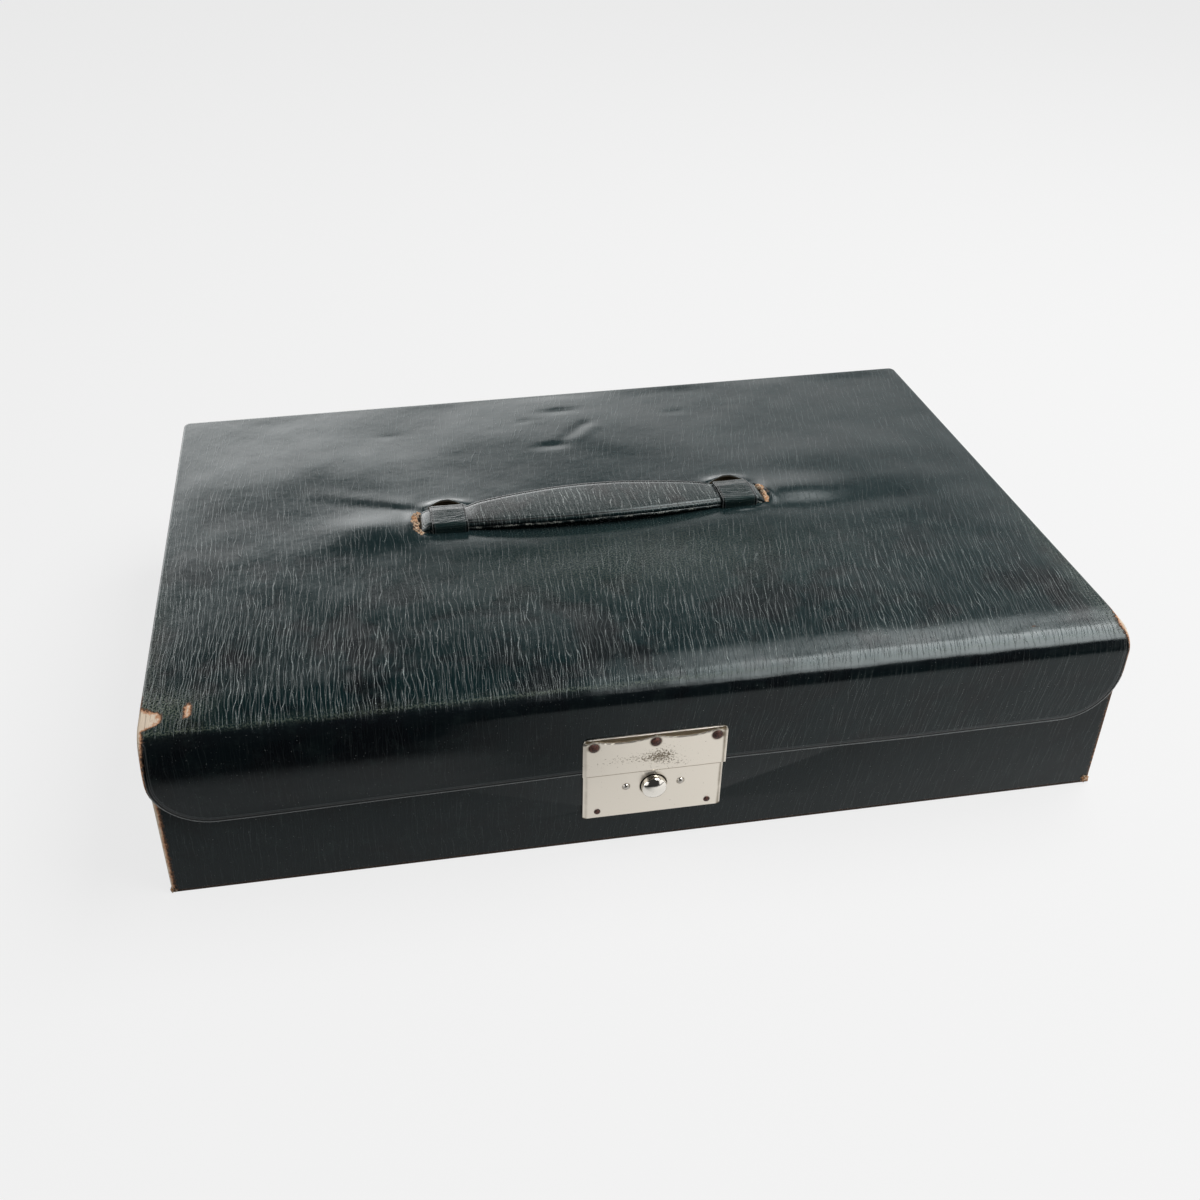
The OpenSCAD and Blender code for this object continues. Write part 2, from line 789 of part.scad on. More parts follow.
module hinge_base_screws() {
    head_low = base_top - screw_head_t;
    color("#b7a06a") at_screws() {
        translate([0, 0, head_low]) cylinder(r = screw_head_r, h = screw_head_t);
        translate([0, 0, base_top - leaf_t - base_screw_l + fit_clear])
            cylinder(r = screw_r, h = head_low - (base_top - leaf_t - base_screw_l + fit_clear));
    }
}

module hinge_lid_screws() {
    shank_l = leaf_t - screw_head_t + lid_screw_l - fit_clear;
    color("#b7a06a") at_screws() {
        translate([0, 0, lid_under]) cylinder(r = screw_head_r, h = screw_head_t);
        translate([0, 0, lid_under + screw_head_t]) cylinder(r = screw_r, h = shank_l);
    }
}

// Leather loop whose feet go through slits to the lid board
module strap_loop(side) {
    low_x = side == left ? -loop_x - loop_w : loop_x;
    in_w = channel_w;
    in_top = case_h + loop_in_h;
    color("#1f2725") along_x(low_x, low_x + loop_w) difference() {
        loop_outline(in_w + 2 * loop_t, in_top + loop_t, loop_bend_r + loop_t);
        loop_outline(in_w, in_top, loop_bend_r);
    }
}

// Upside-down U, from the lid board to top_z, with rounded upper corners
module loop_outline(w, top_z, r) {
    translate([handle_y - w / 2, board_top]) square([w, top_z - r - board_top]);
    translate([handle_y - w / 2 + r, board_top]) square([w - 2 * r, top_z - board_top]);
    for (edge = [-1, 1])
        translate([handle_y + edge * (w / 2 - r), top_z - r]) circle(r = r);
}

// The strap between the loops: arched in side view and fuller in the middle
module strap_span(from_x, to_x) {
    intersection() {
        along_y(handle_y - strap_mid_w, handle_y + strap_mid_w) intersection() {
            translate([0, strap_z + strap_arch - arch_r]) difference() {
                circle(r = arch_r + strap_t, $fn = 720);
                circle(r = arch_r, $fn = 720);
            }
            translate([from_x, strap_z - strap_t]) square([to_x - from_x, 3 * strap_t + strap_arch]);
        }
        translate([0, handle_y, strap_z - strap_t]) linear_extrude(3 * strap_t + strap_arch) intersection() {
            translate([0, strap_mid_w / 2 - belly_r]) circle(r = belly_r, $fn = 720);
            translate([0, belly_r - strap_mid_w / 2]) circle(r = belly_r, $fn = 720);
        }
    }
}

module handle_grip() {
    color("#202826") strap_span(-bend_in, bend_in);
}

module handle_bend(side) {
    color("#202826") strap_span(side == left ? -bend_out : bend_in, side == left ? -bend_in : bend_out);
}

// A strap end: through its loop, then down and along under the lid's leather
module handle_end(side) {
    half = strap_end_w / 2;
    color("#3a2f25") mirror([side == left ? 1 : 0, 0, 0]) {
        box([bend_out, handle_y - half, strap_z], [tip_x, handle_y + half, strap_z + strap_t]);
        box([tip_x - step_l, handle_y - half, hidden_z], [tip_x, handle_y + half, strap_z]);
        box([tip_x, handle_y - half, hidden_z], [tip_x + hidden_l, handle_y + half, hidden_z + hidden_t]);
    }
}

underside_cover();
bottom_board();
front_board();
back_board();
side_board(left);  // left_board
side_board(right);  // right_board
base_leather();
wall_lining();
floor_pad();
long_divider();
cross_divider(left);  // cross_divider_left
cross_divider(right);  // cross_divider_right
tool_rest(left);  // rest_left
tool_rest(right);  // rest_right
lock_plate();
lock_case();
lock_rivets();
lock_nails();
hinge_base_leaves();
hinge_base_screws();
hinge_pins();
push_button();
latch_plate();
lock_spring();
lid_board();
edge_rail();
flap_board();
flap_lining();
lid_leather();
lid_pad();
strike_plate();
strike_tongue();
strike_nails();
hinge_lid_leaves();
hinge_lid_screws();
strap_loop(left);  // loop_left
strap_loop(right);  // loop_right
handle_grip();
handle_bend(left);  // handle_bend_left
handle_bend(right);  // handle_bend_right
handle_end(left);  // handle_end_left
handle_end(right);  // handle_end_right
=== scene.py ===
"""Looks of the leather case for barber tools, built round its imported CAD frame."""

import logging
import math
from collections.abc import Callable, Iterable, Iterator
from contextlib import contextmanager
from dataclasses import dataclass, field
from enum import Enum, IntEnum
from functools import partial
from typing import Any

import bmesh
import bpy
import numpy as np
from mathutils import Matrix, Vector, noise


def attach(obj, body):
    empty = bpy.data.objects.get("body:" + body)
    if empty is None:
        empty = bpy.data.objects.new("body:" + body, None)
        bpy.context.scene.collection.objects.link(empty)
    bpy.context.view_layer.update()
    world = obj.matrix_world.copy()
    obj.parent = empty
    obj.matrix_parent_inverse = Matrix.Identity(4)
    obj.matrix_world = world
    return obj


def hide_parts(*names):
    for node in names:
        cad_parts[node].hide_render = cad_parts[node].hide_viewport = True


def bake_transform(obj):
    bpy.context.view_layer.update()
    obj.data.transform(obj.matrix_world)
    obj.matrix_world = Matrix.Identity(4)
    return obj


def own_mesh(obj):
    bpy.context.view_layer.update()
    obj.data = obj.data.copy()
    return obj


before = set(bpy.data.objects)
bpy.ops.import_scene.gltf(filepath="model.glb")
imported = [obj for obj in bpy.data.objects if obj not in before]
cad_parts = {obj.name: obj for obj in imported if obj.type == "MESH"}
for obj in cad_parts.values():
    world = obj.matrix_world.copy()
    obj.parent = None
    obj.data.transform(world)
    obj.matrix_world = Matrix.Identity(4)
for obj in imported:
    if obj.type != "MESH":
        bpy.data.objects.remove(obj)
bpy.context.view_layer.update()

log = logging.getLogger("barber_case")
Piece = bpy.types.Object
Element = bmesh.types.BMEdge | bmesh.types.BMFace
Feed = bpy.types.Node | bpy.types.NodeSocket | float | tuple[float, ...]
Adder = Callable[..., bpy.types.Node]
Pair = tuple[float, float]
Triple = tuple[float, float, float]
MM = 0.001


class Body(Enum):
    """The moving bodies of the case."""

    BASE = "base"
    BUTTON = "button"
    LID = "lid"
    HANDLE = "handle"
    END_LEFT = "strap_end_left"
    END_RIGHT = "strap_end_right"


class Side(IntEnum):
    """A side of the case, as the sign of its X."""

    LEFT = -1
    RIGHT = 1

    @property
    def word(self) -> str:
        """The side in the names of pieces and nodes."""
        return self.name.lower()


class Level(Enum):
    """What an edit selects."""

    EDGE = "EDGE"
    FACE = "FACE"


# ---------------------------------------------------------------- tools of the bench


def linear(colour: str) -> tuple[float, float, float, float]:
    """Turns an sRGB hex colour into linear RGBA.

    Args:
        colour: the colour as "#rrggbb".

    Returns:
        Red, green, blue and an alpha of 1.
    """
    parts = [int(colour[i : i + 2], 16) / 255 for i in (1, 3, 5)]
    flat = [c / 12.92 if c <= 0.04045 else ((c + 0.055) / 1.055) ** 2.4 for c in parts]
    return flat[0], flat[1], flat[2], 1.0


def add_node(
    tree: bpy.types.NodeTree,
    kind: str,
    *feeds: Feed | None,
    named: dict[str, Feed] | None = None,
    **settings: Any,
) -> bpy.types.Node:
    """Adds a node with its settings, and fills or links its inputs.

    Args:
        tree: the node tree.
        kind: the node's type, without the word ShaderNode before it.
        *feeds: for each live input in order, a node, socket or value that feeds it, or None.
        named: the same for inputs by name.
        **settings: properties of the node.

    Returns:
        The new node.
    """
    made = tree.nodes.new("ShaderNode" + kind)
    for key, value in settings.items():
        setattr(made, key, value)
    inputs = list(zip([socket for socket in made.inputs if socket.enabled], feeds))
    inputs += [(made.inputs[key], value) for key, value in (named or {}).items()]
    for socket, value in inputs:
        if isinstance(value, bpy.types.Node):
            value = next(out for out in value.outputs if out.enabled)
        if isinstance(value, bpy.types.NodeSocket):
            tree.links.new(value, socket)
        elif value is not None:
            socket.default_value = value
    return made


def blank_tree(owner: bpy.types.Material | bpy.types.World) -> Adder:
    """Gives a material or a world an empty node tree.

    Args:
        owner: the material or the world.

    Returns:
        A function that adds a node to the tree.
    """
    owner.use_nodes = True
    owner.node_tree.nodes.clear()
    return partial(add_node, owner.node_tree)


def only(obj: Piece) -> None:
    """Makes obj the one selected and active object.

    Args:
        obj: the object.
    """
    bpy.ops.object.select_all(action="DESELECT")
    obj.select_set(True)
    bpy.context.view_layer.objects.active = obj


@contextmanager
def editing(obj: Piece, everything: bool = False) -> Iterator[None]:
    """Edit mode on obj, with nothing or everything selected at the start.

    Args:
        obj: the object.
        everything: selects the whole mesh at the start, rather than nothing.

    Returns:
        A context that ends back in object mode.
    """
    only(obj)
    bpy.ops.object.mode_set(mode="EDIT")
    bpy.ops.mesh.select_all(action="SELECT" if everything else "DESELECT")
    yield
    bpy.ops.object.mode_set(mode="OBJECT")


def begin(name: str, primitive: Callable[..., Any], **settings: Any) -> Piece:
    """Adds a primitive as a new piece, with its place and turn in its mesh.

    Args:
        name: the piece's name.
        primitive: the operator that adds it.
        **settings: the operator's settings.

    Returns:
        The piece, selected all over.
    """
    bpy.ops.object.select_all(action="DESELECT")
    primitive(**settings)
    piece = bpy.context.active_object
    piece.name = name
    bpy.ops.object.transform_apply(location=True, rotation=True, scale=True)
    return piece


def pick(obj: Piece, level: Level, test: Callable[[Vector, Element], bool]) -> None:
    """Selects, in edit mode, just the edges or faces that pass a test.

    Args:
        obj: the object in edit mode.
        level: edges or faces.
        test: takes an element's middle and the element.
    """
    bpy.ops.mesh.select_mode(type=level.value)
    bpy.ops.mesh.select_all(action="DESELECT")
    mesh = bmesh.from_edit_mesh(obj.data)
    for item in mesh.edges if level is Level.EDGE else mesh.faces:
        middle = sum((v.co for v in item.verts), Vector()) / len(item.verts)
        if test(middle, item):
            item.select_set(True)
    mesh.select_flush_mode()
    bmesh.update_edit_mesh(obj.data)


def place_picked(obj: Piece, move: Callable[[Vector], Vector]) -> None:
    """Moves each selected vertex, in edit mode, to where move puts it.

    Args:
        obj: the object in edit mode.
        move: gives a vertex's new place from its place.
    """
    mesh = bmesh.from_edit_mesh(obj.data)
    for vert in mesh.verts:
        if vert.select:
            vert.co = move(vert.co.copy())
    bmesh.update_edit_mesh(obj.data)


def extrude_picked() -> None:
    """Extrudes the selected edges in place, ready to be moved."""
    bpy.ops.mesh.extrude_edges_move(TRANSFORM_OT_translate={"value": (0, 0, 0)})


def flip_faces(obj: Piece) -> None:
    """Turns every face of obj over."""
    with editing(obj, everything=True):
        bpy.ops.mesh.flip_normals()


def close_below(sheet: Piece) -> None:
    """Makes a swelling sheet a closed pad with a flat underside at height 0.

    Args:
        sheet: the sheet, in object mode.
    """
    with editing(sheet, everything=True):
        bpy.ops.mesh.extrude_region_move(TRANSFORM_OT_translate={"value": (0, 0, 0)})
        place_picked(sheet, lambda co: Vector((co.x, co.y, 0)))
        bpy.ops.mesh.select_all(action="SELECT")
        bpy.ops.mesh.normals_make_consistent(inside=False)


def points_of(obj: Piece) -> np.ndarray:
    """The vertices of obj as an array of rows.

    Args:
        obj: the object.

    Returns:
        X, Y and Z of each vertex.
    """
    flat = np.empty(len(obj.data.vertices) * 3, np.float32)
    obj.data.vertices.foreach_get("co", flat)
    return flat.reshape(-1, 3).astype(float)


def reshape(obj: Piece, points: np.ndarray) -> None:
    """Gives the vertices of obj new places, as when a form is worked by hand."""
    obj.data.vertices.foreach_set("co", points.astype(np.float32).ravel())
    obj.data.update()


def as_rows(*parts: np.ndarray | float) -> np.ndarray:
    """Rows of three numbers from up to three columns, each an array or one number for all rows.

    Args:
        *parts: the columns.

    Returns:
        The rows, with 0 in a column that is left out.
    """
    rows = np.zeros((max(np.size(part) for part in parts), 3))
    for column, part in enumerate(parts):
        rows[:, column] = part
    return rows


def mark(obj: Piece, name: str, *parts: np.ndarray | float) -> None:
    """Keeps up to three numbers at each vertex, as one attribute that a finish reads.

    Args:
        obj: the piece.
        name: the attribute's name.
        *parts: one number for all vertices, or an array, for each of X, Y and Z.
    """
    rows = np.broadcast_to(as_rows(*parts), (len(obj.data.vertices), 3))
    attribute = obj.data.attributes.new(name, "FLOAT_VECTOR", "POINT")
    attribute.data.foreach_set("vector", rows.astype(np.float32).ravel())


def ramp(values: np.ndarray, start: float, end: float) -> np.ndarray:
    """Smooth step from 0 at start to 1 at end."""
    t = np.clip((values - start) / (end - start), 0, 1)
    return t * t * (3 - 2 * t)


def round_off(beyond: np.ndarray, r: float) -> np.ndarray:
    """How far a corner of radius r draws an edge in, at a distance beyond the corner's centre."""
    return r - np.sqrt(np.maximum(r * r - np.clip(beyond, 0, r) ** 2, 0))


def mound(x: np.ndarray, y: np.ndarray, at: Pair, size: Pair) -> np.ndarray:
    """A soft round swelling of height 1 at a place, with its half widths."""
    return np.exp(-(((x - at[0]) / size[0]) ** 2) - ((y - at[1]) / size[1]) ** 2)


def fold_line(x: np.ndarray, y: np.ndarray, start: Pair, end: Pair, wide: float) -> np.ndarray:
    """A crease of height 1 that fades along its length.

    Args:
        x: places across.
        y: places along.
        start: the end where it is highest.
        end: the end where it is faint.
        wide: its half width.

    Returns:
        Its height at each place.
    """
    way = np.array(end) - np.array(start)
    t = np.clip(((x - start[0]) * way[0] + (y - start[1]) * way[1]) / (way @ way), 0, 1)
    away = np.hypot(x - start[0] - t * way[0], y - start[1] - t * way[1])
    return np.exp(-((away / wide) ** 2)) * (1 - 0.85 * t * t)


def ripple(points: np.ndarray, wave: float, seed: float) -> np.ndarray:
    """Smooth seeded noise of about -1 to 1 over points, with a wavelength in their unit."""
    shift = Vector((seed, seed * 1.7, seed * 0.3))
    return np.array([noise.noise(Vector(p) / wave + shift) for p in points])


def apply_modifier(obj: Piece, kind: str, **settings: Any) -> None:
    """Adds one modifier to obj and applies it.

    Args:
        obj: the object.
        kind: the modifier's type.
        **settings: its settings.
    """
    only(obj)
    modifier = obj.modifiers.new(kind.lower(), kind)
    for key, value in settings.items():
        setattr(modifier, key, value)
    bpy.ops.object.modifier_apply(modifier=modifier.name)


def to_metres(obj: Piece) -> None:
    """Shrinks a mesh drawn in millimetres to metres."""
    reshape(obj, points_of(obj) * MM)


def flat_grid(columns: np.ndarray, rows: np.ndarray, name: str) -> Piece:
    """Cuts a flat sheet with its grid lines at given places.

    Args:
        columns: places of the lines across, along X.
        rows: places of the lines along, on Y.
        name: the object's name.

    Returns:
        The sheet, in millimetres, facing up.
    """
    across, along = len(columns) - 1, len(rows) - 1
    sheet = begin(name, bpy.ops.mesh.primitive_grid_add, x_subdivisions=across, y_subdivisions=along, size=2)
    at = points_of(sheet)
    i = np.rint((at[:, 0] + 1) / 2 * across).astype(int)
    j = np.rint((at[:, 1] + 1) / 2 * along).astype(int)
    reshape(sheet, as_rows(columns[i], rows[j]))
    return sheet


@dataclass(frozen=True)
class Hole:
    """A round-cornered hole in a flat sheet: centre, half sizes and squareness."""

    x: float
    y: float
    half_x: float
    half_y: float
    power: float = 2.0

    def depth(self, x: float, y: float) -> float:
        """Below 0 inside the hole, 0 on its edge."""
        across, along = abs(x - self.x) / self.half_x, abs(y - self.y) / self.half_y
        return (across**self.power + along**self.power) ** (1 / self.power) - 1

    def snap(self, at: Vector) -> Vector:
        """The point of the edge on the line from the hole's centre through at.

        Args:
            at: a point near the edge.

        Returns:
            The point of the edge.
        """
        share = self.depth(at.x, at.y) + 1
        middle = Vector((self.x, self.y, at.z))
        return middle + (at - middle) / max(share, 0.2)


def cut_holes(sheet: Piece, holes: Iterable[Hole], wall: float) -> None:
    """Cuts holes in a flat sheet and turns their edges down by wall.

    Args:
        sheet: a flat sheet in millimetres, in object mode.
        holes: the holes.
        wall: depth of the turned edge.
    """
    for hole in holes:
        with editing(sheet):
            pick(sheet, Level.FACE, lambda c, _, h=hole: h.depth(c.x, c.y) < 0)
            bpy.ops.mesh.delete(type="FACE")
            near = 1.2 / min(hole.half_x, hole.half_y)
            pick(sheet, Level.EDGE, lambda c, e, h=hole, n=near: e.is_boundary and h.depth(c.x, c.y) < n)
            place_picked(sheet, hole.snap)
            extrude_picked()
            place_picked(sheet, lambda co, w=wall: co - Vector((0, 0, w)))


def node_copy(node: str, name: str) -> Piece:
    """A clean copy of a CAD node's mesh, to be softened by hand.

    Args:
        node: the CAD node's name.
        name: the new piece's name.

    Returns:
        The copy, its doubles merged and its flat faces whole.
    """
    piece = bpy.data.objects.new(name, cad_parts[node].data.copy())
    bpy.context.scene.collection.objects.link(piece)
    piece.data.materials.clear()
    only(piece)
    bpy.ops.mesh.customdata_custom_splitnormals_clear()
    with editing(piece, everything=True):
        bpy.ops.mesh.remove_doubles(threshold=0.000005)
        bpy.ops.mesh.dissolve_limited(angle_limit=math.radians(2))
    return piece


def turned(name: str, at: Pair, rings: list[Pair], sides: int = 40) -> Piece:
    """Turns a round piece about a line along Y, ring by ring, closed at both ends.

    Args:
        name: the piece's name.
        at: X and Z of the line.
        rings: Y and radius of each ring, from the back to the front.
        sides: faces round the piece.

    Returns:
        The piece in millimetres.
    """
    back = rings[0][0]
    place = {"location": (at[0], back, at[1]), "rotation": (math.pi / 2, 0, 0)}
    piece = begin(name, bpy.ops.mesh.primitive_circle_add, vertices=sides, radius=1, **place)

    def on_ring(co: Vector, y: float, radius: float) -> Vector:
        """The point at the same turn on the ring of this Y and radius."""
        spoke = Vector((co.x - at[0], 0, co.z - at[1])).normalized() * radius
        return Vector((at[0] + spoke.x, y, at[1] + spoke.z))

    with editing(piece, everything=True):
        for number, (y, radius) in enumerate(rings):
            if number:
                extrude_picked()
            place_picked(piece, partial(on_ring, y=y, radius=radius))
        bpy.ops.mesh.edge_face_add()
        bpy.ops.mesh.poke()
        pick(piece, Level.EDGE, lambda c, e: e.is_boundary and abs(c.y - back) < 0.001)
        bpy.ops.mesh.edge_face_add()
        bpy.ops.mesh.select_all(action="SELECT")
        bpy.ops.mesh.normals_make_consistent(inside=False)
    return piece


def dress(
    piece: Piece,
    finish: "Finish",
    body: Body | None,
    stands_for: Iterable[str] = (),
    angle: float = 40,
) -> Piece:
    """Gives a finished piece its smooth shading, finish, body and CAD nodes.

    Args:
        piece: the piece, in metres.
        finish: what it is made of.
        body: the body that it rides on, or None to leave it on no body.
        stands_for: CAD nodes that it replaces.
        angle: edges sharper than this stay sharp, in degrees.

    Returns:
        The piece.
    """
    only(piece)
    bpy.ops.object.shade_smooth_by_angle(angle=math.radians(angle))
    piece.data.materials.clear()
    piece.data.materials.append(finish.material())
    if body is not None:
        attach(piece, body.value)
    if stands_for:
        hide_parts(*stands_for)
    log.info("%s: %d faces, %s", piece.name, len(piece.data.polygons), finish.name)
    return piece


def paint(finish: "Finish", *nodes: str) -> None:
    """Gives CAD nodes, whose shapes are right as they are, a finish.

    Args:
        finish: what the nodes are made of.
        *nodes: their names.
    """
    for node in nodes:
        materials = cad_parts[node].data.materials
        materials.clear()
        materials.append(finish.material())


# ---------------------------------------------------------------- finishes


@dataclass(frozen=True)
class Finish:
    """A material of the case; each kind wires its own nodes."""

    name: str

    def material(self) -> bpy.types.Material:
        """The material, made once and shared.

        Returns:
            The material.
        """
        known = bpy.data.materials.get(self.name)
        if known:
            return known
        made = bpy.data.materials.new(self.name)
        add = blank_tree(made)
        add("OutputMaterial", add("BsdfPrincipled", named=self.wire(add)))
        return made

    def wire(self, add: Adder) -> dict[str, Feed]:
        """Adds the nodes of this finish, and says what feeds the surface."""
        raise NotImplementedError


@dataclass(frozen=True)
class LongGrainLeather(Finish):
    """Goat leather, dyed dark green-black, boarded to a long grain and glazed.

    The grain is fine raised wrinkles about 2 mm apart that run one way, fork and die out, with
    finer ones between. The glaze reflects the room; dust and rubbing make the crests pale, and the
    pale crest lines are also painted highlights, standing for the crests' glint where the grain is
    vivid. The lid's top gets a painted teal sheen, and finished edges get a painted shade line in their
    tooled groove and painted highlights on their rim and on the ridge behind. Worn edges lose the
    dye and show brown, then tan, then cream hide. It reads two attributes of the piece: grain holds
    millimetres across and along the grain and how vivid it is; wear holds bareness, millimetres to
    a finished edge, and rubbing.
    """

    dark: str = "#0c0f12"
    green: str = "#0b1d1f"
    dust: str = "#202a29"
    painted_sheen: str = "#223638"
    crest: str = "#a3afac"
    rubbed: str = "#565d50"
    brown: str = "#4f3625"
    tan: str = "#c39575"
    cream: str = "#dccbb6"
    nick: str = "#cfd4d1"
    # Painted shade for tooled grooves and slits, and painted highlights for the ridge behind a groove and for rims
    groove_shade: str = "#030404"
    welt_highlight: str = "#6a6e6e"
    rim: str = "#858888"
    spacing_mm: float = 2.1
    dash_mm: float = 13.0
    line_mm: float = 0.15
    height_mm: float = 0.15
    crest_show: float = 0.8
    roughness: float = 0.17
    glint: str = "#e0eaea"

    def wire(self, add: Adder) -> dict[str, Feed]:
        """Wires the layers of colour, the roughness and the relief.

        Args:
            add: adds a node to the material's tree.

        Returns:
            What feeds the surface's inputs.
        """
        place = add("Attribute", attribute_name="grain").outputs["Vector"]
        wear = add("Attribute", attribute_name="wear").outputs["Vector"]
        _, along, vivid = add("SeparateXYZ", place).outputs
        worn, gap, rub = add("SeparateXYZ", wear).outputs
        noise_2d = partial(add, "TexNoise", place, noise_dimensions="2D")
        smooth = partial(add, "MapRange", interpolation_type="SMOOTHSTEP")
        times = partial(add, "Math", operation="MULTIPLY")
        mix_in = partial(add, "Math", operation="MULTIPLY_ADD")
        layer = partial(add, "Mix", data_type="RGBA")
        first = self.crest_lines(add, place, self.spacing_mm, 0.0)
        second = self.crest_lines(add, place, self.spacing_mm * 1.43, 5.3)
        between = self.crest_lines(add, place, self.spacing_mm * 0.57, 9.1)
        crest = add("Math", first, second, operation="MAXIMUM")
        patch, speckle = noise_2d(0.035, 4.0, 0.6), noise_2d(1.3, 4.0, 0.7)
        dusting, lit = noise_2d(0.12, 6.0, 0.75), smooth(noise_2d(0.055, 3.0, 0.6), 0.4, 0.62)
        fine = smooth(speckle, 0.42, 0.6)

        # Dyed face: two greens, dust in the hollows, a painted teal sheen on the lid's top (and faintly
        # the loops) that is strongest at the back, and pale crests that come and go, partly dust and
        # partly painted highlight
        leafy = times(smooth(patch, 0.36, 0.54), add("Math", mix_in(vivid, 1.6, 0.12), 1.0, operation="MINIMUM"))
        dyed = layer(leafy, linear(self.dark), linear(self.green))
        dusted = layer(times(smooth(dusting, 0.5, 0.72), 0.3), dyed, linear(self.dust))
        # Painted sheen: the lid's top is lightened towards teal, most at the back where the grain is least vivid
        on_top = times(smooth(along, -1.0, 1.0), smooth(along, 232.0, 220.0))
        sheened = layer(times(on_top, mix_in(vivid, -0.5, 0.5)), dusted, linear(self.painted_sheen))
        polish = times(mix_in(fine, 0.75, 0.25), mix_in(lit, 0.75, 0.25))
        # Pale crest lines: partly dust and rubbing, partly a painted highlight standing for the crests' glint, so they
        # follow vivid and are strongest at the front and the left
        seen = times(times(add("Math", crest, 1.6, operation="POWER"), vivid), polish)
        crested = layer(times(seen, self.crest_show), sheened, linear(self.crest))
        faint = layer(times(times(between, vivid), 0.14), crested, linear(self.crest))
        rubbing = times(fine, rub)
        nicks = times(smooth(noise_2d(1.6, 2.0, 0.6), 0.765, 0.8), mix_in(vivid, 0.5, 0.3))
        rubbed = layer(nicks, layer(rubbing, faint, linear(self.rubbed)), linear(self.nick))

        # Finished edge: a painted highlight on its rim, a painted shade line in the tooled groove beside it, and a
        # faint painted highlight on the ridge behind
        line = times(smooth(gap, 0.95, 1.15), smooth(gap, 2.1, 1.75))
        tooled = layer(line, rubbed, linear(self.groove_shade))
        beside = times(times(smooth(gap, 2.25, 2.5), smooth(gap, 2.95, 2.7)), 0.2)
        welted = layer(beside, tooled, linear(self.welt_highlight))
        rimmed = layer(times(smooth(gap, 1.15, 0.9), 0.5), welted, linear(self.rim))

        # Bare hide: brown where the dye is thin, then tan, then cream fibres
        bared = mix_in(noise_2d(0.8, 6.0, 0.72), 0.8, worn)
        bare = smooth(bared, 0.7, 0.88)
        tanned = layer(smooth(bared, 0.88, 1.04), layer(bare, rimmed, linear(self.brown)), linear(self.tan))
        colour = layer(smooth(bared, 1.1, 1.26), tanned, linear(self.cream))

        worn_glaze = mix_in(dusting, 0.16, self.roughness - 0.08)
        rough = mix_in(bare, 0.55, mix_in(rubbing, 0.4, worn_glaze))
        raised = times(mix_in(between, 0.2, crest), mix_in(vivid, 0.94, 0.06))
        grainy = mix_in(times(speckle, mix_in(vivid, 0.9, 0.25)), 0.09, raised)
        worked = mix_in(line, -1.5, grainy)
        relief = mix_in(patch, 1.4, mix_in(bare, -0.5, worked))
        normal = add("Bump", 1.0, self.height_mm * MM, named={"Height": relief})
        glaze = {"Specular IOR Level": 0.24, "Specular Tint": linear(self.glint)}
        return {"Base Color": colour, "Roughness": rough, "Normal": normal} | glaze

    def crest_lines(self, add: Adder, place: bpy.types.NodeSocket, spacing: float, seed: float) -> bpy.types.Node:
        """One set of thin raised lines along the grain, each broken into its own dashes.

        Sets with unlike spacing meet at small angles and look like forks.

        Args:
            add: adds a node to the tree.
            place: millimetres across and along the grain.
            spacing: millimetres between the lines.
            seed: moves the pattern.

        Returns:
            A node that gives the height of the lines, from 0 to 1.
        """
        across, along, _ = add("SeparateXYZ", place).outputs
        offset = across
        for wave, reach in (((0.022, 0.009), 11.0), ((0.13, 0.05), 2.3), ((0.5, 0.16), 0.8)):
            warped = add("VectorMath", place, (*wave, 0.0), (seed, seed * 2.3, 0.0), operation="MULTIPLY_ADD")
            sway = add("TexNoise", warped, 1.0, 0.0, noise_dimensions="2D")
            offset = add("Math", sway, reach, offset, operation="MULTIPLY_ADD")
        turns = add("Math", offset, spacing, operation="DIVIDE")
        number, part = add("Math", turns, operation="FLOOR"), add("Math", turns, operation="FRACT")
        away = add("Math", add("Math", part, 0.5, operation="SUBTRACT"), operation="ABSOLUTE")
        ridge = add("MapRange", away, self.line_mm / spacing, 0.02, interpolation_type="SMOOTHSTEP")
        lane = add("Math", number, 7.31, seed, operation="MULTIPLY_ADD")
        spot = add("CombineXYZ", lane, add("Math", along, self.dash_mm, operation="DIVIDE"))
        broken = add("TexNoise", spot, 1.0, 1.0, noise_dimensions="2D")
        dash = add("MapRange", broken, 0.38, 0.62, 0.12, 1.0, interpolation_type="SMOOTHSTEP")
        return add("Math", ridge, dash, operation="MULTIPLY")


@dataclass(frozen=True)
class TornHide(Finish):
    """Torn tan hide where the dyed face has come away: fibrous, matt and warm."""

    pale: str = "#e2c8ab"
    middle: str = "#ad7446"
    deep: str = "#3a2317"

    def wire(self, add: Adder) -> dict[str, Feed]:
        """Fibres drawn by noise 0.7 mm wide, in patches of tan and dark brown 2 mm wide.

        Args:
            add: adds a node to the material's tree.

        Returns:
            What feeds the surface's inputs.
        """
        place = add("TexCoord").outputs["Object"]
        fibres, patches = add("TexNoise", place, 1500.0, 5.0, 0.75), add("TexNoise", place, 420.0, 3.0, 0.6)
        tint = add("MapRange", patches, 0.46, 0.55, interpolation_type="SMOOTHSTEP")
        torn = add("Mix", tint, linear(self.deep), linear(self.middle), data_type="RGBA")
        bright = add("MapRange", fibres, 0.45, 0.58, interpolation_type="SMOOTHSTEP")
        colour = add("Mix", bright, torn, linear(self.pale), data_type="RGBA")
        normal = add("Bump", 1.0, 0.0005, named={"Height": fibres})
        return {"Base Color": colour, "Roughness": 0.9, "Specular IOR Level": 0.2, "Normal": normal}


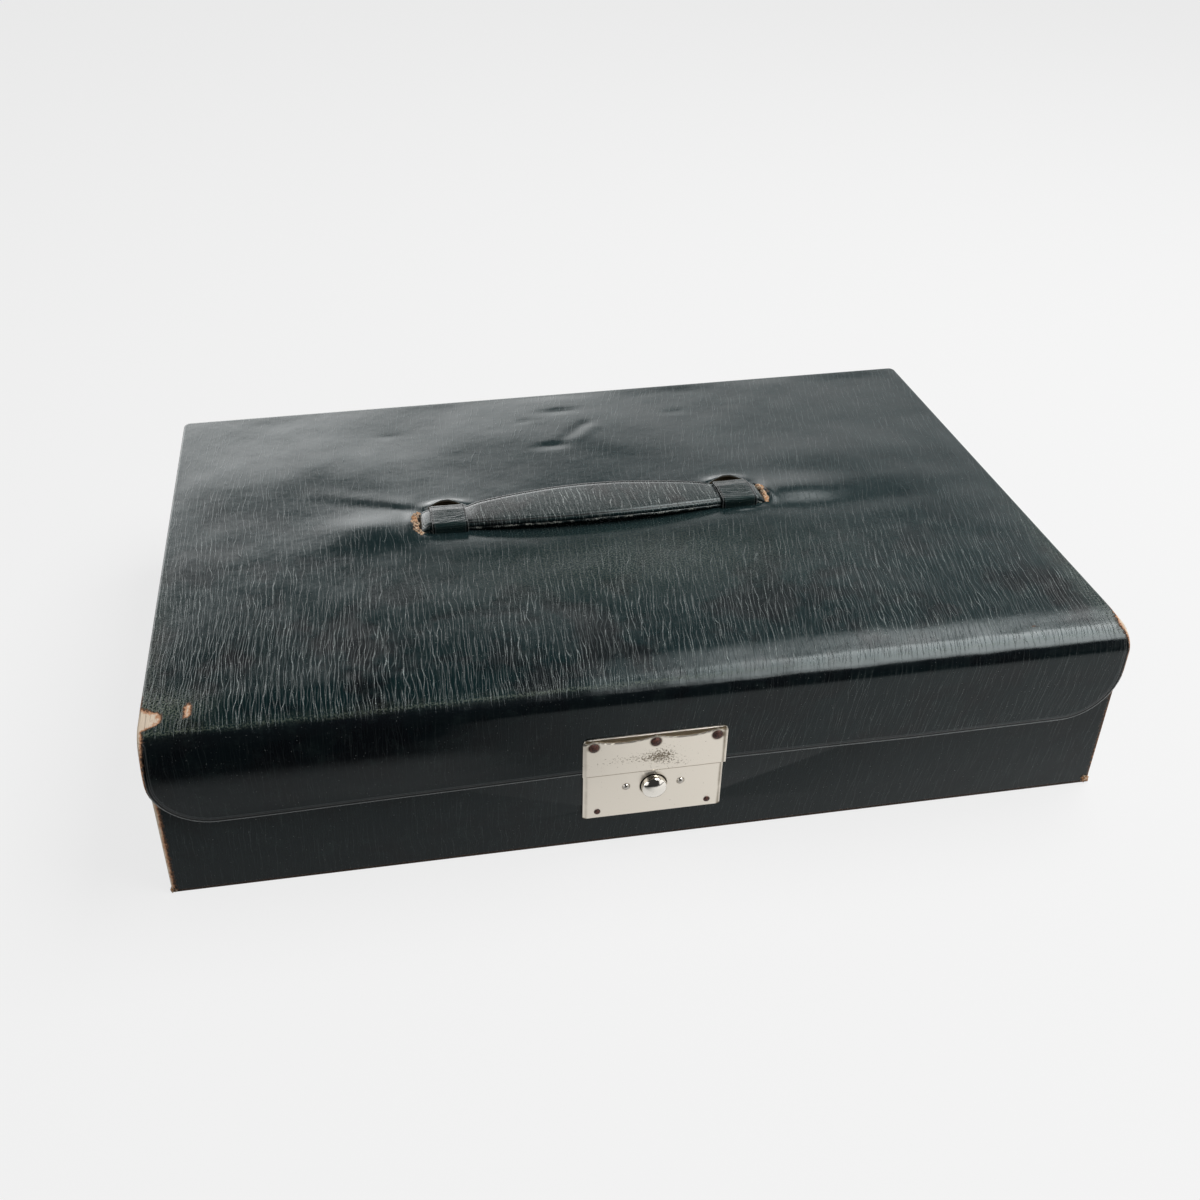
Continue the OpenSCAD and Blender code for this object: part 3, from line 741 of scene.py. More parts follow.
@dataclass(frozen=True)
class SatinNickel(Finish):
    """Rolled brass, nickel plated and brushed: warm light grey metal, tarnished, with small pits and some painted
    shade.
    """

    metal: str = "#d9d2c6"
    tarnish: str = "#6f6350"
    roughness: float = 0.3
    pits: float = 1.0

    def wire(self, add: Adder) -> dict[str, Feed]:
        """Tarnish, painted shade and pits where the piece's plating attribute says; pits 0.6 mm; a fine brushed line.

        Args:
            add: adds a node to the material's tree.

        Returns:
            What feeds the surface's inputs.
        """
        place = add("TexCoord").outputs["Object"]
        plating = add("Attribute", attribute_name="plating").outputs["Vector"]
        stain_and_shade, pitting, _ = add("SeparateXYZ", plating).outputs
        cloud, specks = add("TexNoise", place, 110.0, 5.0, 0.7), add("TexNoise", place, 1100.0, 3.0, 0.75)
        brushed = add("VectorMath", place, (300.0, 300.0, 7000.0), operation="MULTIPLY")
        lines = add("TexNoise", brushed, 1.0, 2.0)
        sparse = add("Math", pitting, 0.16, specks, operation="MULTIPLY_ADD")
        deep = 0.85 * self.pits
        pitted = add("MapRange", sparse, 0.66, 0.72, 0.0, deep, interpolation_type="SMOOTHSTEP")
        soil_and_shade = add("Math", cloud, 0.55, stain_and_shade, operation="MULTIPLY_ADD")
        tarnished_and_shaded = add("MapRange", soil_and_shade, 0.33, 1.1, interpolation_type="SMOOTHSTEP")
        spoiled = add("Math", tarnished_and_shaded, pitted, operation="MAXIMUM")
        colour = add("Mix", spoiled, linear(self.metal), linear(self.tarnish), data_type="RGBA")
        rough = add("MapRange", spoiled, 0.0, 1.0, self.roughness, min(self.roughness + 0.35, 1.0))
        height = add("Math", pitted, -1.5, lines, operation="MULTIPLY_ADD")
        normal = add("Bump", 0.35, 0.00003, named={"Height": height})
        return {"Base Color": colour, "Metallic": 1.0, "Roughness": rough, "Normal": normal}


@dataclass(frozen=True)
class RustyIron(Finish):
    """Iron nail heads rusted brown: matt and crusted, with a little dark metal left."""

    rust: str = "#5b352a"
    bare: str = "#2a2321"

    def wire(self, add: Adder) -> dict[str, Feed]:
        """Rust blooms about 0.6 mm wide.

        Args:
            add: adds a node to the material's tree.

        Returns:
            What feeds the surface's inputs.
        """
        bloom = add("TexNoise", add("TexCoord").outputs["Object"], 1400.0, 5.0, 0.7)
        tint = add("MapRange", bloom, 0.4, 0.6, interpolation_type="SMOOTHSTEP")
        colour = add("Mix", tint, linear(self.bare), linear(self.rust), data_type="RGBA")
        normal = add("Bump", 0.8, 0.0003, named={"Height": bloom})
        return {"Base Color": colour, "Metallic": 0.35, "Roughness": 0.55, "Normal": normal}


@dataclass(frozen=True)
class PlainMetal(Finish):
    """Sheet or turned metal with fine drawn lines and a little grime: brass or steel."""

    metal: str = "#b08d4a"
    grime: str = "#4d3b22"
    roughness: float = 0.34

    def wire(self, add: Adder) -> dict[str, Feed]:
        """Grime in soft clouds 8 mm wide, and lines along X drawn 0.3 mm apart.

        Args:
            add: adds a node to the material's tree.

        Returns:
            What feeds the surface's inputs.
        """
        place = add("TexCoord").outputs["Object"]
        cloud = add("TexNoise", place, 130.0, 5.0, 0.7)
        stretched = add("VectorMath", place, (200.0, 3500.0, 3500.0), operation="MULTIPLY")
        lines = add("TexNoise", stretched, 1.0, 2.0)
        dirty = add("MapRange", cloud, 0.48, 0.72, 0.0, 0.75, interpolation_type="SMOOTHSTEP")
        colour = add("Mix", dirty, linear(self.metal), linear(self.grime), data_type="RGBA")
        rough = add("MapRange", dirty, 0.0, 1.0, self.roughness, self.roughness + 0.3)
        normal = add("Bump", 0.4, 0.00004, named={"Height": lines})
        return {"Base Color": colour, "Metallic": 1.0, "Roughness": rough, "Normal": normal}


@dataclass(frozen=True)
class PoplarBoard(Finish):
    """Thin planed poplar: pale wood with faint straight figure."""

    early: str = "#b7976b"
    late: str = "#8d6c45"

    def wire(self, add: Adder) -> dict[str, Feed]:
        """Growth lines along X, about 3 mm apart, with pores between.

        Args:
            add: adds a node to the material's tree.

        Returns:
            What feeds the surface's inputs.
        """
        place = add("TexCoord").outputs["Object"]
        along = add("VectorMath", place, (12.0, 330.0, 330.0), operation="MULTIPLY")
        figure = add("TexNoise", along, 1.0, 5.0, 0.6)
        tint = add("MapRange", figure, 0.35, 0.65, interpolation_type="SMOOTHSTEP")
        colour = add("Mix", tint, linear(self.early), linear(self.late), data_type="RGBA")
        normal = add("Bump", 0.5, 0.0001, named={"Height": figure})
        return {"Base Color": colour, "Roughness": 0.62, "Normal": normal}


@dataclass(frozen=True)
class Cloth(Finish):
    """Plain woven cotton: two crossing thread sets with slight unevenness."""

    thread: str = "#6b2530"
    shade: str = "#3f1219"
    thread_mm: float = 0.9
    rough: float = 0.85

    def wire(self, add: Adder) -> dict[str, Feed]:
        """Threads are drawn coarser than the real 0.3 mm so that they show.

        Args:
            add: adds a node to the material's tree.

        Returns:
            What feeds the surface's inputs.
        """
        place = add("TexCoord").outputs["Object"]
        waves = math.pi / 10 / (self.thread_mm * MM)
        weave = None
        for axis in ("X", "Y", "Z"):
            threads = add("TexWave", place, waves, 0.6, 1.0, bands_direction=axis)
            weave = threads if weave is None else add("Math", weave, threads, operation="ADD")
        fade = add("TexNoise", place, 45.0, 4.0, 0.6)
        mixed = add("Math", weave, 0.22, fade, operation="MULTIPLY_ADD")
        tint = add("MapRange", mixed, 0.5, 1.15, interpolation_type="SMOOTHSTEP")
        colour = add("Mix", tint, linear(self.shade), linear(self.thread), data_type="RGBA")
        normal = add("Bump", 0.6, 0.00012, named={"Height": weave})
        sheen = {"Sheen Weight": 0.15, "Sheen Roughness": 0.5, "Specular IOR Level": 0.2}
        return {"Base Color": colour, "Roughness": self.rough, "Normal": normal} | sheen


@dataclass(frozen=True)
class Velvet(Finish):
    """Cotton velvet: short cut pile, brushed in soft patches, with a bright rim of sheen."""

    pile: str = "#6e1a26"
    crushed: str = "#4a0f1a"
    sheen: str = "#c98a92"

    def wire(self, add: Adder) -> dict[str, Feed]:
        """Pile tufts drawn 0.5 mm wide, and crushed patches about 20 mm wide.

        Args:
            add: adds a node to the material's tree.

        Returns:
            What feeds the surface's inputs.
        """
        place = add("TexCoord").outputs["Object"]
        tufts = add("TexNoise", place, 1800.0, 2.0)
        patch = add("TexNoise", place, 38.0, 4.0, 0.6, named={"Distortion": 0.8})
        blend = add("Math", tufts, 0.35, patch, operation="MULTIPLY_ADD")
        tint = add("MapRange", blend, 0.5, 0.88, interpolation_type="SMOOTHSTEP")
        colour = add("Mix", tint, linear(self.crushed), linear(self.pile), data_type="RGBA")
        normal = add("Bump", 0.7, 0.0003, named={"Height": tufts})
        sheen = {"Sheen Weight": 0.6, "Sheen Roughness": 0.35, "Sheen Tint": linear(self.sheen)}
        surface = {"Base Color": colour, "Roughness": 0.95, "Specular IOR Level": 0.1, "Normal": normal}
        return surface | sheen


COVER_LEATHER = LongGrainLeather("long_grain_goat_leather")
STRAP_LOOKS = {"crest": "#aab3b0", "crest_show": 0.9, "dust": "#333b39", "roughness": 0.2, "rubbed": "#b0b2aa"}
STRAP_LEATHER = LongGrainLeather("strap_goat_leather", spacing_mm=2.6, dash_mm=6.0, line_mm=0.2, **STRAP_LOOKS)
LOOP_LOOKS = {"crest": "#66716f", "crest_show": 0.2, "height_mm": 0.12, "glint": "#525e5d"}
LOOP_LEATHER = LongGrainLeather("loop_goat_leather", spacing_mm=1.1, dash_mm=16.0, line_mm=0.26, **LOOP_LOOKS)
TORN_HIDE = TornHide("torn_tan_hide")
PLATE_NICKEL = SatinNickel("satin_nickel_plate")
BUTTON_NICKEL = SatinNickel("polished_nickel", metal="#dcd8d0", tarnish="#4c443a", roughness=0.09, pits=0.8)
NAIL_IRON = RustyIron("rusted_iron_nail")
HINGE_BRASS = PlainMetal("drawn_brass")
LOCK_STEEL = PlainMetal("blued_steel_sheet", metal="#8f8d88", grime="#3a3633", roughness=0.4)
BOARD = PoplarBoard("planed_poplar")
LINING = Cloth("lining_cotton")
UNDERSIDE = Cloth("underside_bookcloth", thread="#3a2a20", shade="#17110d", thread_mm=1.1)
VELVET = Velvet("cotton_velvet")


# ---------------------------------------------------------------- lid


@dataclass
class LidCover:
    """Leather cover of the lid: top, rounded front edge and flap in one sheet, in millimetres.

    It is cut flat, its edges are rolled, and then it is folded over the lid's boards. On the flat
    sheet X runs across and -Y is the way along the leather from the lid's back edge to the flap.
    """

    half_x: float = 180.75
    back_y: float = 115.0
    top_z: float = 76.0
    edge_r: float = 9.0
    edge_y: float = -108.4
    edge_z: float = 67.0
    corner_r: float = 22.0
    back_corner_r: float = 3.0
    roll_r: float = 1.0
    lid_wall: float = 5.12
    flap_wall: float = 2.12
    turn_in: float = 9.0
    flap_turn_in: float = 1.5
    slit_wall: float = 1.1
    most_sunk: float = 0.9
    fall: float = 0.9
    # X and height of the flap's lower edge, from left to right
    flap_low: tuple[Pair, ...] = ((-158.75, 34.3), (-146, 34.4), (-94, 35.6), (-58, 36.2), (-28, 36.7))
    flap_low += ((28, 36.7), (64, 36.5), (101, 36.0), (142, 36.4), (158.75, 36.6))
    # Openings round the strap's tips: middles left and right, where they start, half width and squareness
    strap_y: float = 3.0
    tip_x: Pair = (73.4, 72.9)
    tip_start: float = 70.0
    tip_half: float = 8.4
    tip_power: float = 2.6
    # Slit behind each loop: X, Y, half length and half width
    slit: tuple[float, ...] = (62.5, 14.3, 7.9, 2.3)
    # Height, place and half widths of the worn top's swellings and dents
    swellings: tuple[tuple[float, Pair, Pair], ...] = (
        (0.75, (-4, 78), (44, 26)),
        (-0.5, (-8, 61), (7, 2.4)),
        (-0.4, (1, 95), (9, 2.4)),
        (-0.25, (-18, 87), (3, 1.6)),
        (-0.25, (56, 86), (5, 1.6)),
        (-0.2, (-84, 84), (4, 1.6)),
        (0.6, (-5, -16), (80, 11)),
        (0.8, (120, 32), (45, 20)),
        (0.5, (-120, 50), (40, 30)),
    )
    # The same at each loop: over the strap's end, its tip, behind the loop and before it
    loop_swellings: tuple[tuple[float, Pair, Pair], ...] = (
        (1.3, (93, 3), (19, 10)),
        (0.8, (78.5, 3), (2.6, 8)),
        (3.0, (62.5, 16.4), (6.5, 3.0)),
        (0.3, (62.5, -8.4), (9, 1.6)),
    )
    # Height, high end, faint end and half width of the creases
    creases: tuple[tuple[float, Pair, Pair, float], ...] = (
        (-0.36, (11, 80), (-6, 62), 2.6),
        (0.2, (15, 76), (2, 62), 2.8),
        (0.35, (-78, -6), (-121, -8), 6.0),
        (-0.22, (-78, 14), (-118, 30), 3.0),
        (0.25, (-80, 20), (-124, 37), 5.0),
        (0.4, (80, 8), (179, 7), 9.0),
        (-0.2, (80, -9), (150, -10), 6.0),
    )
    # Bareness, place and half widths of the spots where the dye is thin, the same at each loop, and bald patches
    thin_spots: tuple[tuple[float, Pair, Pair], ...] = (
        (0.62, (147, -106.7), (1.8, 1.3)),
        (0.45, (180.5, -110), (3.0, 5.0)),
        (0.4, (-180.5, -115), (2.6, 6.0)),
        (0.26, (-173, -98), (7, 5)),
        (0.22, (6, -70), (0.9, 7)),
        (0.2, (-28.5, -50), (5, 0.9)),
        (0.34, (-70, 89.5), (2, 1.2)),
    )
    loop_spots: tuple[tuple[float, Pair, Pair], ...] = ((0.35, (77.5, 3), (1.6, 8)), (0.12, (83, -7), (8, 4)))
    bald_patches: tuple[tuple[Pair, Pair], ...] = (((-178.5, -106.5), (6.5, 5.0)), ((-164.8, -103.6), (1.6, 4.6)))
    # Along the leather to the rounded edge and to the flap, and X where the flap's corners start
    to_edge: float = field(init=False)
    to_flap: float = field(init=False)
    corner_x: float = field(init=False)

    def __post_init__(self) -> None:
        """Works out the lengths that follow from the others."""
        self.to_edge = self.back_y - self.edge_y
        self.to_flap = self.to_edge + self.edge_r * math.pi / 2
        self.corner_x = self.half_x - self.corner_r

    def end_of_flap(self, x: np.ndarray | float) -> np.ndarray | float:
        """Length along the leather to the flap's lower edge at x, without its corners."""
        return self.to_flap + self.edge_z - np.interp(x, *zip(*self.flap_low))

    def tip_hole(self, side: Side) -> Hole:
        """The opening in the flat sheet round the strap's tip on one side.

        Args:
            side: left or right.

        Returns:
            The opening.
        """
        middle = self.tip_x[side is Side.RIGHT]
        place = (side * middle, self.strap_y - self.back_y)
        return Hole(*place, middle - self.tip_start, self.tip_half, self.tip_power)

    def slits(self) -> list[Hole]:
        """Openings in the flat sheet: round each strap tip, and behind each loop.

        Returns:
            The openings: on each side the tip's, and then the one behind the loop.
        """
        x, y, *half = self.slit
        holes = []
        for side in Side:
            holes += [self.tip_hole(side), Hole(side * x, y - self.back_y, *half)]
        return holes

    def cut_flat(self) -> Piece:
        """Cuts the flat sheet, a little inside its edge, with its slits.

        Returns:
            The sheet in millimetres.
        """
        inset_r, back_r = self.corner_r - self.roll_r, self.back_corner_r - self.roll_r
        outer = self.corner_x + inset_r * np.sin(np.radians(np.arange(7.5, 90.1, 7.5)))
        columns = np.concatenate([-outer[::-1], np.linspace(-self.corner_x, self.corner_x, 153), outer])
        back_rows, back_end = [0, 0.6, 1.4, 2.4, 4], 6.5
        top_rows = np.linspace(back_end, self.to_edge, 104)
        arc_rows = np.linspace(self.to_edge, self.to_flap, 13)[1:]
        arc_rows = np.sort(np.append(arc_rows, self.to_flap - 0.6))
        flap_rows = np.array([2, 4, 6.5, 9, 11.5, 14, 16.5, 19, 21.5, 24, 26, 28, 29, 30, 30.5, 31])
        rows = np.concatenate([back_rows, top_rows, arc_rows, self.to_flap + flap_rows])
        sheet = flat_grid(columns, -rows[::-1], "lid_cover")
        at = points_of(sheet)
        x, s = at[:, 0], -at[:, 1]
        low = self.end_of_flap(x) - self.roll_r - round_off(np.abs(x) - self.corner_x, inset_r)
        share = np.clip((s - self.to_flap) / flap_rows[-1], 0, 1)
        s = np.where(s > self.to_flap, self.to_flap + share * (low - self.to_flap), s)
        start = self.roll_r + round_off(np.abs(x) - (self.half_x - self.back_corner_r), back_r)
        share = np.clip(s / back_end, 0, 1)
        s = np.where(s < back_end, start + share * (back_end - start), s)
        reshape(sheet, as_rows(x, -s))
        finer_x, finer_y, reach = 68, 5 - self.back_y, 17.5
        with editing(sheet):
            pick(sheet, Level.FACE, lambda c, _: max(abs(abs(c.x) - finer_x), abs(c.y - finer_y)) < reach)
            bpy.ops.mesh.subdivide(number_cuts=3)
        cut_holes(sheet, self.slits(), self.slit_wall)
        return sheet

    def outward(self, x: float, s: float) -> Pair:
        """Direction out of the sheet at a point of its edge.

        Args:
            x: the point's place across the leather.
            s: its place along the leather, from the back edge.

        Returns:
            The direction across and along.
        """
        corner_s = self.end_of_flap(math.copysign(self.corner_x, x)) - self.corner_r
        side = math.copysign(1.0, x)
        if abs(x) > self.corner_x and s > corner_s:
            way = Vector((x - side * self.corner_x, s - corner_s)).normalized()
            return way.x, way.y
        if s > corner_s + self.corner_r / 2:
            return 0.0, 1.0
        corner_x = self.half_x - self.back_corner_r
        if s < self.back_corner_r and abs(x) > corner_x:
            way = Vector((x - side * corner_x, s - self.back_corner_r)).normalized()
            return way.x, way.y
        return (0.0, -1.0) if s < self.back_corner_r else (side, 0.0)

    def rolled(self, co: Vector, grow: float, down: float, walled: bool) -> Vector:
        """Where a point of the sheet's edge goes for the next ring of the roll.

        Args:
            co: the point.
            grow: how far outwards it goes.
            down: its depth under the face, or under the wall where walled.
            walled: whether the ring lies at the lower edge of the lid's or the flap's side.

        Returns:
            The new place.
        """
        out_x, out_s = self.outward(co.x, -co.y)
        wall = self.flap_wall if -co.y > self.to_flap - 0.3 else self.lid_wall
        return Vector((co.x + out_x * grow, co.y - out_s * grow, -(wall * walled + down)))

    def tucked(self, co: Vector) -> Vector:
        """Where a point of the rolled edge goes as it is turned in under the lid or behind the flap.

        Args:
            co: the point.

        Returns:
            The new place.
        """
        out_x, out_s = self.outward(co.x, -co.y)
        if -co.y > self.to_flap - 0.3:
            return co - Vector((out_x, -out_s, 0)) * self.flap_turn_in
        inner = self.half_x - self.turn_in
        return Vector((max(-inner, min(inner, co.x)), min(-self.turn_in, co.y), co.z))

    def roll_edges(self, sheet: Piece) -> None:
        """Rolls the sheet's edge over, down the lid's side and in under it, ring by ring.

        Args:
            sheet: the flat sheet.
        """
        holes, r = self.slits(), self.roll_r
        bends = [math.radians(a) for a in (22.5, 45, 67.5, 90)]
        rings = [(r * math.sin(a), r * (1 - math.cos(a)), False) for a in bends]
        rings += [(r, -0.4, True), (r * 0.6, 0.0, True)]

        def outline(c: Vector, edge: Element) -> bool:
            """Whether an edge is on the sheet's outline, and not on an opening's."""
            return edge.is_boundary and c.z > -0.5 and not any(hole.depth(c.x, c.y) < 0.35 for hole in holes)

        last = 0.0
        with editing(sheet):
            pick(sheet, Level.EDGE, outline)
            for out, down, walled in rings:
                extrude_picked()
                place_picked(sheet, partial(self.rolled, grow=out - last, down=down, walled=walled))
                last = out
            extrude_picked()
            place_picked(sheet, self.tucked)
            bpy.ops.mesh.remove_doubles(threshold=0.001)

    def relief(self, x: np.ndarray, y: np.ndarray) -> np.ndarray:
        """Height of the worn top over the flat board: swellings, dents and creases.

        Args:
            x: places across the lid.
            y: places from its front to its back.

        Returns:
            The height at each place, in millimetres.
        """
        high = np.zeros(len(x))
        for tall, at, size in self.swellings:
            high += tall * mound(x, y, at, size)
        for side in Side:
            for tall, at, size in self.loop_swellings:
                high += tall * mound(x, y, (side * at[0], at[1]), size)
        for tall, start, end, wide in self.creases:
            high += tall * fold_line(x, y, start, end, wide)
        flat = as_rows(x, y)
        high += 0.45 * ripple(flat, 46, 3.1) + 0.1 * ripple(flat, 15, 8.2)
        calm = ramp(self.half_x - np.abs(x), 0, 9) * ramp(self.back_y - y, 0, 9) * ramp(y - self.edge_y, -4, 8)
        past_loops = np.clip(np.abs(x) - 58, 0, None)
        under_strap = np.exp(-((past_loops / 3) ** 2) - ((y - self.strap_y) / 11) ** 4)
        return np.clip(high * calm * (1 - 0.9 * under_strap), -0.85, 3.0)

    def slack(self, x: np.ndarray, s: np.ndarray) -> np.ndarray:
        """How far the slack leather stands off the flap's left half, below the rounded edge.

        Args:
            x: places across the leather.
            s: places along it.

        Returns:
            The distance at each place.
        """
        u = np.linspace(-3, 36, 157)
        slope = 0.3 * ramp(u, -2.5, 0.5) * (1 - ramp(u, 2, 9)) - 0.108 * ramp(u, 8, 14) * (1 - ramp(u, 24, 34))
        rise = np.cumsum(slope) * (u[1] - u[0])
        return np.interp(s - self.to_flap, u, rise) * ramp(-x, 33, 90)

    def fold(self, sheet: Piece) -> None:
        """Folds the sheet over the boards, and marks what the leather finish reads.

        Args:
            sheet: the sheet with its edges rolled.
        """
        at = points_of(sheet)
        x, s, depth = at[:, 0], -at[:, 1], -at[:, 2]
        y_top, along = self.back_y - s, s - self.to_edge
        on_top, on_flap = s <= self.to_edge, s >= self.to_flap
        turn = np.clip(along / self.edge_r, 0, math.pi / 2)
        skin = np.clip(1 - depth / 1.4, 0, 1)
        side_calm = ramp(self.half_x - np.abs(x), 0, 12)
        edge_line = as_rows(x, s * 0.6)
        worn_round = 0.22 * ripple(edge_line, 13, 5.5) * np.exp(-(((turn - 0.5) / 0.5) ** 2)) * ~on_flap
        sag = 0.16 * ripple(edge_line, 38, 1.4) * ramp(s, self.to_flap, self.to_flap + 8)
        rise = self.relief(x, np.maximum(y_top, self.edge_y)) * skin * (1 - ramp(turn, 0, 0.9))
        rise -= self.fall * ramp(along, -11, 3) * (1 - ramp(along, 4, 13)) * skin
        rise = np.maximum(rise, -self.most_sunk)
        round_rise = np.maximum(rise + worn_round * skin * side_calm, -self.most_sunk)
        out = self.edge_r - depth + round_rise + sag * side_calm + self.slack(x, s)
        y = np.where(on_top, y_top, self.edge_y - np.sin(turn) * out)
        z = np.where(on_top, self.top_z - depth + rise, self.edge_z + np.cos(turn) * out)
        z = np.where(on_flap, self.edge_z - (s - self.to_flap), z)
        reshape(sheet, as_rows(x, y, z) * MM)
        self.mark_wear_and_edge_shading(sheet, x, s, depth)
        self.mark_grain(sheet, x, s)

    def mark_wear_and_edge_shading(self, sheet: Piece, x: np.ndarray, s: np.ndarray, depth: np.ndarray) -> None:
        """Marks bared edges and corners and the rubbed front, and the edge distances by which the finish paints the
        flap's tooled edge and the slits with shade and highlight.

        Args:
            sheet: the folded sheet.
            x: place of each vertex across the leather.
            s: its place along the leather, from the back edge.
            depth: its depth under the leather's face.
        """
        y, turn = self.back_y - s, (s - self.to_edge) / self.edge_r
        corner_s = self.end_of_flap(np.where(x < 0, -self.corner_x, self.corner_x)) - self.corner_r
        side_gap = self.half_x - np.abs(x)
        beyond = np.maximum(np.abs(x) - self.corner_x, 0)
        round_gap = self.corner_r - np.hypot(beyond, np.maximum(s - corner_s, 0))
        gap = np.where(s > corner_s, np.where(beyond > 0, round_gap, self.end_of_flap(x) - s), side_gap)
        gap = np.minimum(gap, np.where(s < 20, s, 99))

        front = ramp(s, self.to_edge - 30, self.to_edge + 4) * (1 - 0.75 * ramp(s, corner_s - 4, corner_s + 12))
        worn = np.exp(-np.clip(gap - 0.4, 0, None) / 0.9) * (0.16 + 0.52 * front)
        worn -= 0.2 * ramp(depth, 0.8, 2.5)
        loop_spots = [(bare, (side * at[0], at[1]), size) for side in Side for bare, at, size in self.loop_spots]
        for bare, at, size in [*self.thin_spots, *loop_spots]:
            worn += bare * mound(x, y, at, size)
        for at, size in self.bald_patches:
            worn += 0.85 * ramp(mound(x, y, at, size), 0.3, 0.62)

        wobble = 0.05 * ripple(as_rows(x), 17, 2.2)
        rub = 0.8 * np.exp(-(((turn - 0.56 - wobble) / 0.07) ** 2)) * (0.4 + 0.6 * ramp(-x, -60, 20))
        rub += 0.2 * np.exp(-(((turn - 0.3 + wobble) / 0.12) ** 2)) * ramp(-x, -20, 90)
        rub += 0.35 * np.exp(-((side_gap / 7) ** 2)) * ramp(s, 90, 200) * (1 - ramp(turn, 0, 1))
        rub += 0.8 * mound(x, y, (-171, -102), (12, 8)) + 0.3 * mound(x, y, (10, -38), (75, 24))

        rim = gap + 9 * (1 - ramp(s, self.to_edge + 4, self.to_edge + 9))
        # Painted shadow: the wall inside each slit behind a loop gets the tooled groove's near-black shade, and the
        # slit's edge gets the rim's painted highlight
        for hole in self.slits()[1::2]:
            away = np.array([hole.depth(px, -ps) for px, ps in zip(x, s)]) * hole.half_y
            rim = np.where((away < 0.4) & (depth > 0.3), 1.8, np.where(away < 0.5, 0.8, rim))
        mark(sheet, "wear", worn, rim, rub)

    def mark_grain(self, sheet: Piece, x: np.ndarray, s: np.ndarray) -> None:
        """Marks the way of the grain, most vivid at the front and the left, and faint on the flap.

        Args:
            sheet: the folded sheet.
            x: place of each vertex across the leather.
            s: its place along the leather, from the back edge.
        """
        y, turn = self.back_y - s, (s - self.to_edge) / self.edge_r
        # Vivid also sets where the finish paints highlights on the crests and, the other way round, how much of the
        # top's painted sheen shows
        near = ramp(-y, -15, 100) ** 1.5
        left = ramp(-x, 40, 165) * ramp(-y, -95, 30)
        vivid = 0.12 + 0.72 * near + 0.32 * left + 0.3 * mound(x, y, (168, -92), (10, 20))
        vivid = vivid * (1 - ramp(turn, 0.3, 0.75)) + (0.06 + 0.16 * ramp(x, -40, 60)) * ramp(turn, 0.9, 1.5)
        lean = 0.2 * (s - self.to_edge) * ramp(x, -110, 90)
        mark(sheet, "grain", x + lean, s, vivid)

    def build(self) -> None:
        """Cuts, rolls, folds and dresses the cover."""
        sheet = self.cut_flat()
        self.roll_edges(sheet)
        self.fold(sheet)
        dress(sheet, COVER_LEATHER, Body.LID, ["lid_leather"], angle=60)


